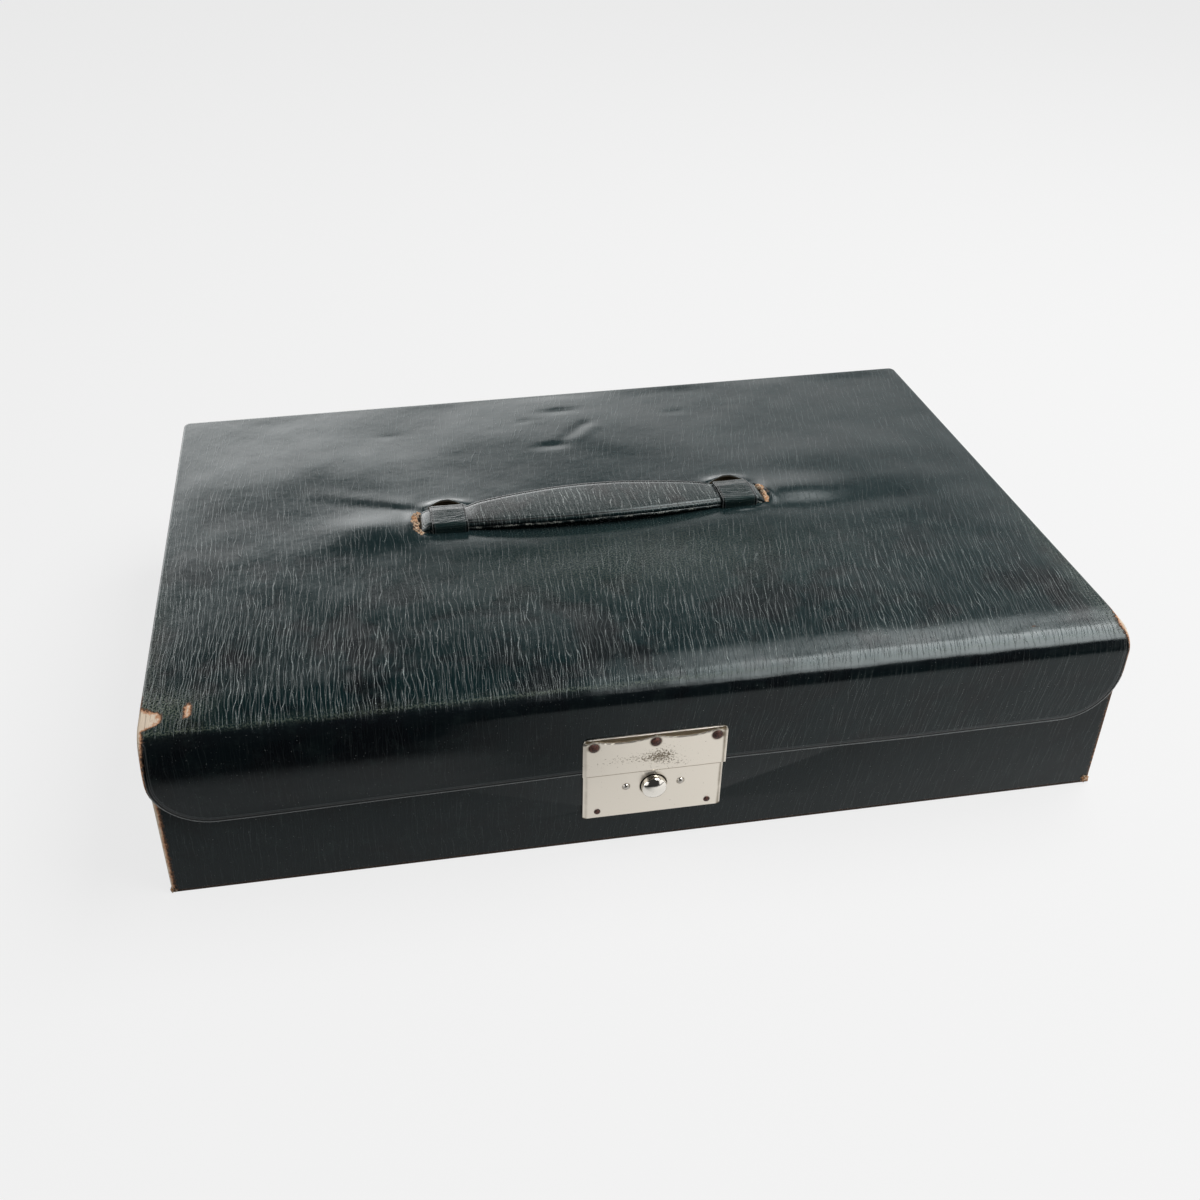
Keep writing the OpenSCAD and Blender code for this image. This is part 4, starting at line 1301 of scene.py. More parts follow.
@dataclass
class Lid:
    """The lid: its leather cover, boards, cloth behind the flap and quilted pad, in millimetres."""

    pad_x: float = 170.5
    pad_y: float = 105.5
    pad_top: float = 71.0
    pad_low: float = 67.4
    quilt: float = 24.0
    cover: LidCover = field(default_factory=LidCover)

    def build(self) -> None:
        """Builds the cover and dresses what is under it."""
        self.cover.build()
        paint(BOARD, "lid_board", "edge_rail", "flap_board")
        self.flap_cloth()
        self.torn_lip(Side.LEFT, (-84, 80), 1.5)
        self.torn_lip(Side.RIGHT, (-60, 52), 1.3)
        self.pad()

    def flap_cloth(self) -> None:
        """The cloth glued behind the flap."""
        cloth = node_copy("flap_lining", "flap_lining_cloth")
        dress(cloth, LINING, Body.LID, ["flap_lining"])

    def torn_lip(self, side: Side, span: Pair, wide: float) -> None:
        """The torn tan edge of the leather round a tip of the strap.

        Args:
            side: left or right.
            span: the angles round the opening's middle where it starts and ends, in degrees.
            wide: how far its longest tatters reach.
        """
        cover, hole, (first, last) = self.cover, self.cover.tip_hole(side), span
        lip = flat_grid(np.linspace(first, last, 120), np.linspace(0, 1, 9), f"torn_lip_{side.word}")
        at = points_of(lip)
        angle, step = np.radians(at[:, 0]), at[:, 1]
        round_lip = as_rows(angle * 4, side * 3.0, step)
        ragged = np.abs(ripple(round_lip, 1.3, 2.0)) * 1.6 + 0.5 * np.abs(ripple(round_lip, 0.4, 5.0))
        ends = ramp(at[:, 0], first, first + 14) * (1 - ramp(at[:, 0], last - 14, last))
        reach = step * wide * (0.2 + ragged) * ends - 1.1 * (1 - step) * (0.3 + ragged)
        power = hole.power
        corner = (np.abs(np.cos(angle)) ** power + np.abs(np.sin(angle)) ** power) ** (-1 / power)
        x = hole.x + side * (hole.half_x + reach) * np.cos(angle) * corner
        y = cover.strap_y + (hole.half_y + reach) * np.sin(angle) * corner
        curl = np.sin(np.clip(step / 0.45, 0, 1) * math.pi / 2) * (1.1 - 0.75 * step)
        rough = 0.35 * ripple(as_rows(x, y, step), 0.8, 7.0)
        z = cover.top_z + cover.relief(x, y) - 0.75 + (curl + rough) * (0.4 + 0.6 * ends)
        reshape(lip, as_rows(x, y, z) * MM)
        if side is Side.LEFT:
            flip_faces(lip)
        apply_modifier(lip, "SOLIDIFY", thickness=0.0005, offset=-1)
        dress(lip, TORN_HIDE, Body.LID, angle=50)

    def pad(self) -> None:
        """The thin quilted velvet pad under the lid, sewn in diamonds."""
        columns, rows = np.linspace(-self.pad_x, self.pad_x, 171), np.linspace(-self.pad_y, self.pad_y, 107)
        pad = flat_grid(columns, rows, "lid_quilt")
        at = points_of(pad)
        u, v = (at[:, 0] + at[:, 1]) / self.quilt, (at[:, 0] - at[:, 1]) / self.quilt
        puff = np.abs(np.sin(math.pi * u)) ** 0.5 * np.abs(np.sin(math.pi * v)) ** 0.5
        gap = np.minimum(self.pad_x - np.abs(at[:, 0]), self.pad_y - np.abs(at[:, 1]))
        at[:, 2] = (0.35 + 0.65 * puff) * (self.pad_top - self.pad_low) * np.sqrt(np.clip(gap / 5, 0.02, 1))
        reshape(pad, at)
        close_below(pad)
        x, y, z = points_of(pad).T
        reshape(pad, as_rows(-x, y, self.pad_top - z) * MM)
        dress(pad, VELVET, Body.LID, ["lid_pad"])


# ---------------------------------------------------------------- base


@dataclass
class Base:
    """The base: leather wrap, boards, cloth and velvet inside, in millimetres."""

    half_x: float = 180.0
    half_y: float = 115.0
    floor_z: float = 5.0
    pad_z: float = 8.0
    pad_x: float = 172.7
    pad_y: float = 107.7
    # Dividers in the velvet: Y of the long one, and X of the cross dividers behind it and rests before it
    divider_y: float = 11.5
    cross_x: float = 61.5
    rest_x: float = 90.0
    # End of the case, sign of its Y, side and size of each tuft at a bottom corner
    tufts: tuple[tuple[str, int, Side, float], ...] = (
        ("front", -1, Side.LEFT, 1.2),
        ("front", -1, Side.RIGHT, 1.9),
        ("back", 1, Side.LEFT, 1.1),
        ("back", 1, Side.RIGHT, 1.4),
    )

    def build(self) -> None:
        """Builds the wrap and the lining, and dresses the boards."""
        self.wrap()
        walls = ["front_board", "back_board", "left_board", "right_board"]
        paint(BOARD, "bottom_board", *walls)
        paint(UNDERSIDE, "underside_cover")
        lining = node_copy("wall_lining", "wall_lining_cloth")
        apply_modifier(lining, "BEVEL", width=0.0004, segments=2, limit_method="ANGLE")
        dress(lining, LINING, Body.BASE, ["wall_lining"])
        self.frayed_corners()
        self.floor()
        self.fittings()

    def frayed_corners(self) -> None:
        """Tufts of torn leather and board at the four bottom corners."""
        for end, sign, side, size in self.tufts:
            name = f"frayed_corner_{end}_{side.word}"
            tuft = begin(name, bpy.ops.mesh.primitive_ico_sphere_add, subdivisions=5, radius=1)
            at = points_of(tuft)
            grow = 1 + 0.5 * ripple(at, 0.55, size) + 0.35 * ripple(at, 0.2, size * 3)
            at *= grow[:, None] * np.array([size, size * 0.9, size * 1.1])
            at += np.array([side * (self.half_x - 0.55 * size), sign * (self.half_y - 0.5 * size), size * 0.95])
            reach = np.array([self.half_x + 0.6, self.half_y + 0.9, 9])
            reshape(tuft, np.clip(at, [-reach[0], -reach[1], 0.03], reach) * MM)
            dress(tuft, TORN_HIDE, Body.BASE, angle=60)

    def wrap(self) -> None:
        """The leather round the base: softened edges, cut into strips near its corners for wear."""
        wrap = node_copy("base_leather", "base_wrap")
        apply_modifier(wrap, "BEVEL", width=0.0007, segments=3, limit_method="ANGLE", angle_limit=math.radians(40))
        cuts = []
        for gap in (1.2, 3.5, 9.0):
            for side in Side:
                inner_x, inner_y = side * (self.half_x - gap), side * (self.half_y - gap)
                cuts += [((inner_x, 0, 0), (1, 0, 0)), ((0, inner_y, 0), (0, 1, 0))]
        cuts += [((0, 0, z), (0, 0, 1)) for z in (2.2, 5.0, 12.0)]
        with editing(wrap):
            for place, normal in cuts:
                bpy.ops.mesh.select_all(action="SELECT")
                bpy.ops.mesh.bisect(plane_co=Vector(place) * MM, plane_no=normal)
        at = points_of(wrap) / MM
        x, y, z = at[:, 0], at[:, 1], at[:, 2]
        mark(wrap, "grain", x + y - 0.18 * z * ramp(x, -80, 60), -z, 0.1)
        corner = np.maximum(self.half_x - np.abs(x), self.half_y - np.abs(y))
        outer = np.minimum(self.half_x - np.abs(x), self.half_y - np.abs(y)) < 1.0
        worn = np.exp(-((np.clip(corner, 0, None) / 1.5) ** 2)) * (0.55 + (x < 0) * (0.35 + 0.25 * ramp(z, 8, 24)))
        worn = np.maximum(worn, 0.55 * np.exp(-np.clip(z - 0.5, 0, None) / 1.0))
        mark(wrap, "wear", np.where(outer, worn, 0.0), 9.0, 0.0)
        dress(wrap, COVER_LEATHER, Body.BASE, ["base_leather"])

    def floor(self) -> None:
        """The velvet pad on the floor, swelling a little in each compartment."""
        columns, rows = np.linspace(-self.pad_x, self.pad_x, 139), np.linspace(-self.pad_y, self.pad_y, 87)
        pad = flat_grid(columns, rows, "floor_velvet")
        at = points_of(pad)
        x, y = at[:, 0], at[:, 1]
        walls = [self.pad_x - np.abs(x), self.pad_y - np.abs(y), np.abs(y - self.divider_y)]
        walls.append(np.abs(np.abs(x) - np.where(y > self.divider_y, self.cross_x, self.rest_x)))
        gap = np.min(walls, 0)
        at[:, 2] = (self.pad_z - self.floor_z) - 0.35 + 0.7 * ramp(gap, 0, 16) + 0.08 * ripple(at, 22, 4.4)
        reshape(pad, at)
        close_below(pad)
        at = points_of(pad)
        at[:, 2] += self.floor_z
        reshape(pad, at * MM)
        dress(pad, VELVET, Body.BASE, ["floor_pad"])

    def fittings(self) -> None:
        """Dividers and notched rests, boards wrapped in velvet, with soft edges."""
        dividers = ("long_divider", "cross_divider_left", "cross_divider_right")
        for node in (*dividers, "rest_left", "rest_right"):
            piece = node_copy(node, f"velvet_{node}")
            apply_modifier(piece, "BEVEL", width=0.0009, segments=3, limit_method="ANGLE")
            dress(piece, VELVET, Body.BASE, [node])


# ---------------------------------------------------------------- lock


@dataclass
class PressedPlate:
    """A thin pressed plate on the front, drawn flat with its height on Y, in millimetres."""

    name: str
    node: str
    body: Body
    half_x: float
    low_z: float
    top_z: float
    face_y: float
    back_y: float
    upper_r: float
    slope_x: float
    nails: tuple[Pair, ...]
    nail_r: float
    rivets: tuple[Pair, ...] = ()
    dish: float = 0.0
    hole: Hole | None = None
    slot_x: float = 0.0
    inset: float = 0.35
    # Depth, place and half widths of the pitted patches
    pits: tuple[tuple[float, Pair, Pair], ...] = ()

    def build(self) -> None:
        """Cuts the plate, presses its face, rolls its edge back and dresses it."""
        columns = np.linspace(-self.half_x, self.half_x, 109)
        rows = np.linspace(self.low_z, self.top_z, 45)
        plate = flat_grid(columns, rows, self.name)
        at = points_of(plate)
        middle_z, half_z = (self.low_z + self.top_z) / 2, (self.top_z - self.low_z) / 2
        at[:, 0] *= (self.half_x - self.slope_x) / self.half_x
        at[:, 1] = middle_z + (at[:, 1] - middle_z) * (half_z - self.inset) / half_z
        self.round_corners(at)
        reshape(plate, at)
        if self.hole:
            cut_holes(plate, [self.hole], 1.2)
        self.roll_edge(plate)
        self.press(plate)
        dress(plate, PLATE_NICKEL, self.body, [self.node], angle=35)

    def round_corners(self, at: np.ndarray) -> None:
        """Draws the upper corners in to their radius.

        Args:
            at: the flat plate's points, which it changes.
        """
        r = self.upper_r
        if r <= 0:
            return
        top, side = at[:, 1].max(), at[:, 0].max()
        dx, dz = np.abs(at[:, 0]) - (side - r), at[:, 1] - (top - r)
        both = (dx > 0) & (dz > 0)
        share = np.where(both, np.maximum(dx, dz) / np.maximum(np.hypot(dx, dz), 1e-6), 1)
        at[:, 0] = np.where(both, np.sign(at[:, 0]) * (side - r + dx * share), at[:, 0])
        at[:, 1] = np.where(both, top - r + dz * share, at[:, 1])

    def stepped(self, co: Vector, grow: float, down: float) -> Vector:
        """Where a point of the plate's edge goes for the next ring.

        Args:
            co: the point.
            grow: the share of the side's slope that it goes outwards.
            down: its depth under the face.

        Returns:
            The new place.
        """
        inner_x, inner_low, inner_top = self.half_x - self.slope_x, self.low_z + self.inset, self.top_z - self.inset
        outer = abs(co.x) >= inner_x - 0.05 - self.upper_r
        near_top = co.y > inner_top - 0.05 - self.upper_r and abs(co.x) <= inner_x - 0.05
        upper = near_top or co.y > inner_top - 0.05
        out_x = grow * self.slope_x * math.copysign(1, co.x) * outer
        out_z = grow * self.inset * (1 if upper else -(co.y < inner_low + 0.05))
        return Vector((co.x + out_x, co.y + out_z, -down))

    def roll_edge(self, plate: Piece) -> None:
        """Takes the plate's edge back to the leather in three rings, and opens the tongue's slot.

        Args:
            plate: the flat plate.
        """
        deep = self.back_y - self.face_y
        hole = self.hole
        last = 0.0
        with editing(plate):
            pick(plate, Level.EDGE, lambda c, e: e.is_boundary and (not hole or hole.depth(c.x, c.y) > 0.3))
            for share, down in ((0.35, 0.12), (1.0, min(0.9, deep * 0.4)), (1.0, deep)):
                extrude_picked()
                place_picked(plate, partial(self.stepped, grow=share - last, down=down))
                last = share
            if self.slot_x:
                top = self.top_z - 0.2
                pick(plate, Level.FACE, lambda c, _: abs(c.x) < self.slot_x and c.y > top and c.z < -0.6)
                bpy.ops.mesh.delete(type="FACE")

    def press(self, plate: Piece) -> None:
        """Stands the plate up, its top edge sunk between the nails, and marks its stains, pits and painted shade: the
        sunk band darkened, and a shadow ring round the button's hole.

        Args:
            plate: the flat plate with its edge rolled.
        """
        at = points_of(plate)
        x, z, out = at[:, 0], at[:, 1], at[:, 2]
        face = np.clip(1 + out / 0.6, 0, 1)
        below = self.top_z - 0.5 - z
        band = 0.3 + 1.9 * np.abs(np.sin(math.pi * x / 23.0)) ** 0.7
        sunk = (1 - ramp(below, band - 0.35, band + 0.35)) * ramp(below, -0.3, 0.1) * (self.dish > 0)
        bent = 0.05 * ripple(as_rows(x, z), 11, 2.2) - self.dish * sunk
        end = self.half_x - np.abs(x)
        # Painted reflection: the band sunk between the nails is darkened, standing for the dark reflection of the
        # dished edge
        stain_and_shade = 1.15 * sunk * ramp(end, 0.4, 2.0)
        # Darker strips on the side bevels, more on the right, and along the lower plate's bottom bevel
        stain_and_shade += (0.3 + 0.25 * (x > 0)) * ramp(-end, -2.0, -1.3) * (1 - 0.8 * ramp(-end, -0.9, -0.5))
        stain_and_shade += 0.5 * ramp(-z, -self.low_z - 0.5, -self.low_z) * (self.dish == 0)
        halo = 0.7 if self.dish else 0.35
        for nail in self.nails:
            away = np.hypot(x - nail[0], z - nail[1])
            bent -= 0.12 * np.exp(-((away / 2.6) ** 2))
            stain_and_shade += halo * np.exp(-((np.clip(away - self.nail_r + 0.2, 0, None) / (0.9 * halo)) ** 2))
        if self.hole:
            # Painted shadow: a dark ring on the plate round the button's hole, standing for the button's contact
            # shadow
            away = np.hypot(x - self.hole.x, z - self.hole.y) - self.hole.half_x
            stain_and_shade += 0.5 * np.exp(-((np.clip(away, 0, None) / 0.35) ** 2))
        for rivet in self.rivets:
            away = np.hypot(x - rivet[0], z - rivet[1])
            stain_and_shade += 0.8 * np.exp(-((np.clip(away - 1.3, 0, None) / 0.3) ** 2))
        pits = sum((deep * mound(x, z, at, size) for deep, at, size in self.pits), np.zeros(len(x)))
        reshape(plate, as_rows(x, self.face_y - out - bent * face, z) * MM)
        mark(plate, "plating", stain_and_shade, pits)


@dataclass
class Lock:
    """The lock: two pressed plates, the button, rivets, nails and the works behind, in millimetres."""

    button_z: float = 28.8
    plate_y: float = -117.3
    strike_y: float = -118.2
    low_nails: tuple[Pair, ...] = ((-21.1, 17.6), (21.1, 17.6))
    strike_nails: tuple[Pair, ...] = ((-23.0, 50.2), (0.0, 50.2), (23.0, 50.2))
    rivets: Pair = (-10.35, 10.35)
    # The button's middle is this far under the rivets'; its radius, and the front and the height of its dome
    button_drop: float = 0.35
    button_r: float = 4.75
    button_front: float = -121.5
    dome_high: float = 1.9
    spring_back: float = -110.8

    def build(self) -> None:
        """Builds the plates and heads, and dresses the works."""
        self.lower_plate()
        self.upper_plate()
        self.button()
        self.heads()
        self.spring()
        paint(LOCK_STEEL, "lock_case", "latch_plate")
        paint(PLATE_NICKEL, "strike_tongue")

    def lower_plate(self) -> None:
        """The lock plate on the base, with its holes for the button and the tongue."""
        rivets = tuple((x, self.button_z) for x in self.rivets)
        sizes = {"half_x": 26.5, "low_z": 14.4, "top_z": 35.7, "face_y": self.plate_y, "back_y": -115.0}
        fixings = {"nails": self.low_nails, "nail_r": 1.25, "rivets": rivets}
        openings = {"hole": Hole(0, self.button_z - self.button_drop, 5.15, 5.15), "slot_x": 10.6}
        edges = {"upper_r": 0.0, "slope_x": 1.7}
        PressedPlate("lower_lock_plate", "lock_plate", Body.BASE, **sizes, **edges, **fixings, **openings).build()

    def upper_plate(self) -> None:
        """The strike plate on the flap, dished between its nails."""
        sizes = {"half_x": 27.0, "low_z": 36.15, "top_z": 54.0, "face_y": self.strike_y, "back_y": self.plate_y}
        edges = {"upper_r": 2.2, "slope_x": 1.1, "dish": 0.6}
        pits = ((1.2, (2.5, 43.2), (6, 4.6)), (0.8, (-9, 43), (13, 2.6)), (0.55, (10, 39), (6, 2)))
        fixings = {"nails": self.strike_nails, "nail_r": 2.0, "pits": pits}
        PressedPlate("upper_strike_plate", "strike_plate", Body.LID, **sizes, **edges, **fixings).build()

    def spring(self) -> None:
        """The bowed leaf spring behind the latch plate, dressed on a mesh of its own; on the real lock it flattens as
        the button goes in.
        """
        spring = node_copy("lock_spring", "bowed_leaf_spring")
        dress(spring, LOCK_STEEL, Body.BASE, ["lock_spring"])
        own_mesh(spring)

    def button(self) -> None:
        """The domed push button on its stem."""
        r, stem_r = self.button_r, 2.0
        rings = [(-114.05, stem_r), (-115.6, stem_r), (-115.6, r), (-119.3, r), (-119.6, r - 0.1)]
        ball = (r**2 + self.dome_high**2) / (2 * self.dome_high)
        for ring in (4.4, 4.0, 3.4, 2.7, 2.0, 1.3, 0.6):
            rings.append((self.button_front + ball - math.sqrt(ball**2 - ring * ring), ring))
        button = turned("domed_button", (0.0, self.button_z - self.button_drop), rings, 64)
        self.keep_stain(button, 0.0)
        dress(button, BUTTON_NICKEL, Body.BUTTON, ["push_button"], angle=50)

    def keep_stain(self, piece: Piece, amount: float) -> None:
        """Turns a piece to metres and marks how tarnished it is, the same all over."""
        to_metres(piece)
        mark(piece, "plating", amount, 0.0)

    def heads(self) -> None:
        """Rivets beside the button, and the brown nails of both plates."""
        rivets = self.dome_set("bright_rivets", [(x, self.button_z) for x in self.rivets], self.plate_y, 1.35, 0.9)
        self.keep_stain(rivets, 0.45)
        dress(rivets, BUTTON_NICKEL, Body.BASE, ["lock_rivets"], angle=50)
        low = self.dome_set("lower_nails", self.low_nails, self.plate_y, 1.25, 0.6)
        self.rust(low, 0.16)
        dress(low, NAIL_IRON, Body.BASE, ["lock_nails"], angle=60)
        strike = self.dome_set("strike_nails_brown", self.strike_nails, self.strike_y, 2.0, 1.1)
        self.rust(strike, 0.22)
        dress(strike, NAIL_IRON, Body.LID, ["strike_nails"], angle=60)

    def rust(self, piece: Piece, amount: float) -> None:
        """Turns nail heads to metres, their domes roughened by rust.

        Args:
            piece: the nail heads, in millimetres.
            amount: how far the rust stands out.
        """
        at = points_of(piece)
        at[:, 1] += amount * ripple(at, 0.7, 6.1) * (at[:, 1] < self.plate_y - 0.15)
        reshape(piece, at)
        to_metres(piece)

    def dome_set(self, name: str, places: Iterable[Pair], face_y: float, r: float, high: float) -> Piece:
        """Domed heads on short shanks, joined into one piece.

        Args:
            name: the piece's name.
            places: X and Z of each head.
            face_y: the face that they lie on.
            r: radius of a head.
            high: height of a head.

        Returns:
            The heads in millimetres.
        """
        ball = (r * r + high * high) / (2 * high)
        rings = [(face_y + 1.6, r * 0.4), (face_y + 0.05, r * 0.4), (face_y + 0.05, r)]
        for share in (0.96, 0.86, 0.72, 0.55, 0.36, 0.16):
            rings.append((face_y - high + ball - math.sqrt(ball**2 - (r * share) ** 2), r * share))
        heads = [turned(f"{name}_{i}", at, rings, 28) for i, at in enumerate(places)]
        bpy.ops.object.select_all(action="DESELECT")
        for head in heads:
            head.select_set(True)
        bpy.context.view_layer.objects.active = heads[0]
        bpy.ops.object.join()
        heads[0].name = name
        return heads[0]


@dataclass
class Hinges:
    """The two butt hinges with their pins and screws."""

    def build(self) -> None:
        """Dresses the CAD nodes, whose shapes are right."""
        paint(HINGE_BRASS, "hinge_base_leaves", "hinge_lid_leaves", "hinge_base_screws", "hinge_lid_screws")
        paint(LOCK_STEEL, "hinge_pins")


# ---------------------------------------------------------------- handle


@dataclass
class Handle:
    """The strap handle: two halves of the strap, two ends and two loops, in millimetres."""

    middle_y: float = 3.0
    strap_z: float = 76.2
    strap_thick: float = 3.2
    arch: float = 2.3
    loop_x: float = 55.0
    loop_w: float = 15.0
    end_half: float = 8.0
    mid_half: float = 13.5
    half_stop: float = 60.0
    end_start: float = 66.3
    end_drop: float = 3.15
    # Half of the strap's section, from its underside round to its top: gap from its side edge inwards, and height
    section: tuple[Pair, ...] = ((0.6, 0.0), (0.1, 0.25), (-0.2, 0.7), (-0.1, 1.1), (0.4, 1.35), (0.08, 1.65))
    section += ((0.0, 2.2), (0.22, 2.75), (0.7, 3.08), (1.25, 3.1), (1.5, 2.95), (1.75, 2.95), (2.0, 3.1), (3.5, 3.17))
    # A loop: half width, top, lower end of its feet, radii of its front and back bends, and fall to the back
    loop_half: float = 9.4
    loop_top: float = 80.75
    loop_foot: float = 74.95
    loop_bends: Pair = (2.0, 2.6)
    loop_fall: float = 0.9

    def tube(self, name: str, steps: np.ndarray) -> tuple[Piece, np.ndarray, np.ndarray]:
        """Extrudes the strap's section along X.

        Args:
            name: the piece's name.
            steps: places of the rings along X.

        Returns:
            The piece, and for each vertex the number of its section point and of its step.
        """
        count = len(self.section) * 2 + 2
        circle = {"vertices": count, "radius": 1, "rotation": (0, math.pi / 2, 0)}
        piece = begin(name, bpy.ops.mesh.primitive_circle_add, **circle)
        with editing(piece, everything=True):
            bpy.ops.mesh.edge_face_add()
            for _ in steps[1:]:
                bpy.ops.mesh.extrude_region_move(TRANSFORM_OT_translate={"value": (1, 0, 0)})
        x, y, z = points_of(piece).T
        number = np.rint(np.arctan2(y, z) / (2 * math.pi) * count).astype(int) % count
        return piece, number, np.rint(x).astype(int)

    def outline(self, number: np.ndarray, half: np.ndarray) -> tuple[np.ndarray, np.ndarray]:
        """Y and height of each section point, clockwise from the top's middle.

        Args:
            number: the section's point numbers.
            half: half width of the strap at each vertex.

        Returns:
            Distance across from the strap's middle line, and height over its underside.
        """
        count = len(self.section) * 2 + 2
        y, z = np.zeros(len(number)), np.where(number == 0, self.strap_thick, 0.0)
        for place, (gap, high) in enumerate(self.section[::-1], 1):
            for k, way in ((place, 1), (count - place, -1)):
                here = number == k
                y[here], z[here] = way * (half[here] - gap), high
        return y, z

    def strap_half(self, side: Side) -> None:
        """Half of the strap between the loops, left on no body; on the real case it bends as the handle lifts.

        Args:
            side: left or right.
        """
        steps = np.linspace(0.0, self.half_stop, 49)
        piece, number, step = self.tube(f"strap_half_{side.word}", steps)
        x = steps[step]
        belly = self.mid_half - self.end_half
        belly_r, arch_r = ((self.loop_x**2 + rise**2) / (2 * rise) for rise in (belly, self.arch))
        inside = np.minimum(x, self.loop_x)
        half = self.mid_half - (belly_r - np.sqrt(belly_r**2 - inside**2))
        under = self.arch - (arch_r - np.sqrt(arch_r**2 - inside**2))
        y, z = self.outline(number, half)
        fray = as_rows(x, y, z)
        loose = (z < 1.3) & (z > 0.2)
        z *= 1 - 0.3 * ramp(y, -1, 8) * ramp(x, 48, 56)
        y += 0.22 * ripple(fray, 1.3, 2.0) * loose
        z = np.minimum(z + 0.12 * ripple(fray, 14, 7.0), self.arch + self.strap_thick - 0.01 - under)
        at = as_rows(x * side, self.middle_y + y, self.strap_z + under + z)
        self.finish_strap(piece, at, y, half, z, loose, side)
        dress(piece, STRAP_LEATHER, None, ["handle_grip", f"handle_bend_{side.word}"], angle=60)
        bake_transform(piece)

    def finish_strap(
        self,
        piece: Piece,
        at: np.ndarray,
        across: np.ndarray,
        half: np.ndarray,
        high: np.ndarray,
        loose: np.ndarray,
        side: Side,
    ) -> None:
        """Puts the strap's points in place and marks its grain, its rubbing and frayed tufts, and the distance to the
        edge of its top, by which the finish paints a highlighted rim and a shaded tooled line.

        Args:
            piece: the half or end of the strap.
            at: the points' places.
            across: their distances from the strap's middle line.
            half: the strap's half width at each.
            high: their heights over its underside.
            loose: whether each is on the frayed lower layer.
            side: left or right.
        """
        reshape(piece, at * MM)
        if side is Side.LEFT:
            flip_faces(piece)
        mark(piece, "grain", at[:, 0], across + high * 0.5 + 300, np.where(high > 2.0, 1.0, 0.2))
        on_top = high > 2.5
        # The distance to the top's edge makes the finish paint a highlight on the strap's rim, a shade line in its
        # tooled groove and a highlight on the ridge behind
        gap = np.where(on_top, half - np.abs(across) + 0.5, 9.0)
        tufts = np.clip(0.3 + 2.2 * ripple(as_rows(at[:, 0], high, high), 2.2, 6.0), 0, 1)
        mark(piece, "wear", 0.0, gap, np.where(on_top, 0.08, tufts * loose))

    def strap_end(self, side: Side) -> None:
        """An end of the strap: through its loop, then down and along under the leather.

        Args:
            side: left or right.
        """
        steps = np.concatenate([np.linspace(self.end_start, 80, 22), np.linspace(83, 103, 6)])
        piece, number, step = self.tube(f"strap_end_{side.word}_leather", steps)
        x = steps[step]
        drop = ramp(x, 70.5, 78.0)
        half = self.end_half - 0.9 * drop
        y, z = self.outline(number, half)
        rough = as_rows(x, y, z)
        z *= (1 - 0.5 * ramp(x, 72, 78)) * (1 - 0.3 * ramp(y, -1, 8))
        z += 0.12 * ripple(rough, 2.5, 3.3) * ramp(x, 70, 73) * (1 - ramp(x, 78, 80))
        at = as_rows(x * side, self.middle_y + y, self.strap_z - self.end_drop * drop + z)
        self.finish_strap(piece, at, y, half, z, (z < 1.3) & (z > 0.2), side)
        body = Body.END_LEFT if side is Side.LEFT else Body.END_RIGHT
        dress(piece, STRAP_LEATHER, body, [f"handle_end_{side.word}"], angle=60)

    def loop(self, side: Side) -> None:
        """A leather loop over the strap: a flat strip bent over, with its feet through the lid.

        Args:
            side: left or right.
        """
        (front_r, back_r), quarter = self.loop_bends, math.pi / 2
        flat = 2 * self.loop_half - front_r - back_r
        rise = self.loop_top - front_r - self.loop_foot
        drop = self.loop_top - self.loop_fall - back_r - self.loop_foot
        top_start = rise + front_r * quarter
        top_end = top_start + flat
        back_end = top_end + back_r * quarter
        columns = np.linspace(self.loop_x, self.loop_x + self.loop_w, 25)
        strip = flat_grid(columns, np.linspace(0, back_end + drop, 71), f"strap_loop_{side.word}")
        x, t, _ = points_of(strip).T
        bend_1 = np.clip((t - rise) / front_r, 0, quarter)
        bend_2 = np.clip((t - top_end) / back_r, 0, quarter)
        over, down = np.clip(t - top_start, 0, flat), np.clip(t - back_end, 0, None)
        y = -self.loop_half + front_r * (1 - np.cos(bend_1)) + over + back_r * np.sin(bend_2)
        z = self.loop_foot + np.minimum(t, rise) + front_r * np.sin(bend_1) - back_r * (1 - np.cos(bend_2)) - down
        z -= self.loop_fall * ramp(over, 0.66 * flat, flat)
        edge = np.minimum(x - self.loop_x, self.loop_x + self.loop_w - x)
        z += (0.06 * ripple(as_rows(x, t), 7, 5.0 + side) - 0.25 * np.exp(-((edge / 0.5) ** 2))) * (bend_1 > 1.5)
        reshape(strip, as_rows(x * side, self.middle_y + y, z) * MM)
        if side is Side.LEFT:
            flip_faces(strip)
        mark(strip, "grain", t + 500, x, 0.8)
        # The distance to each edge makes the finish paint a highlight along the loop's edges and a shade line in the
        # tooled groove beside them
        mark(strip, "wear", 0.0, edge * 1.6 + 0.7, 0.1)
        apply_modifier(strip, "SOLIDIFY", thickness=0.0011, offset=-1)
        dress(strip, LOOP_LEATHER, Body.LID, [f"loop_{side.word}"], angle=60)

    def build(self) -> None:
        """Builds both sides of the handle."""
        for side in Side:
            self.strap_half(side)
            self.strap_end(side)
            self.loop(side)


# ---------------------------------------------------------------- studio


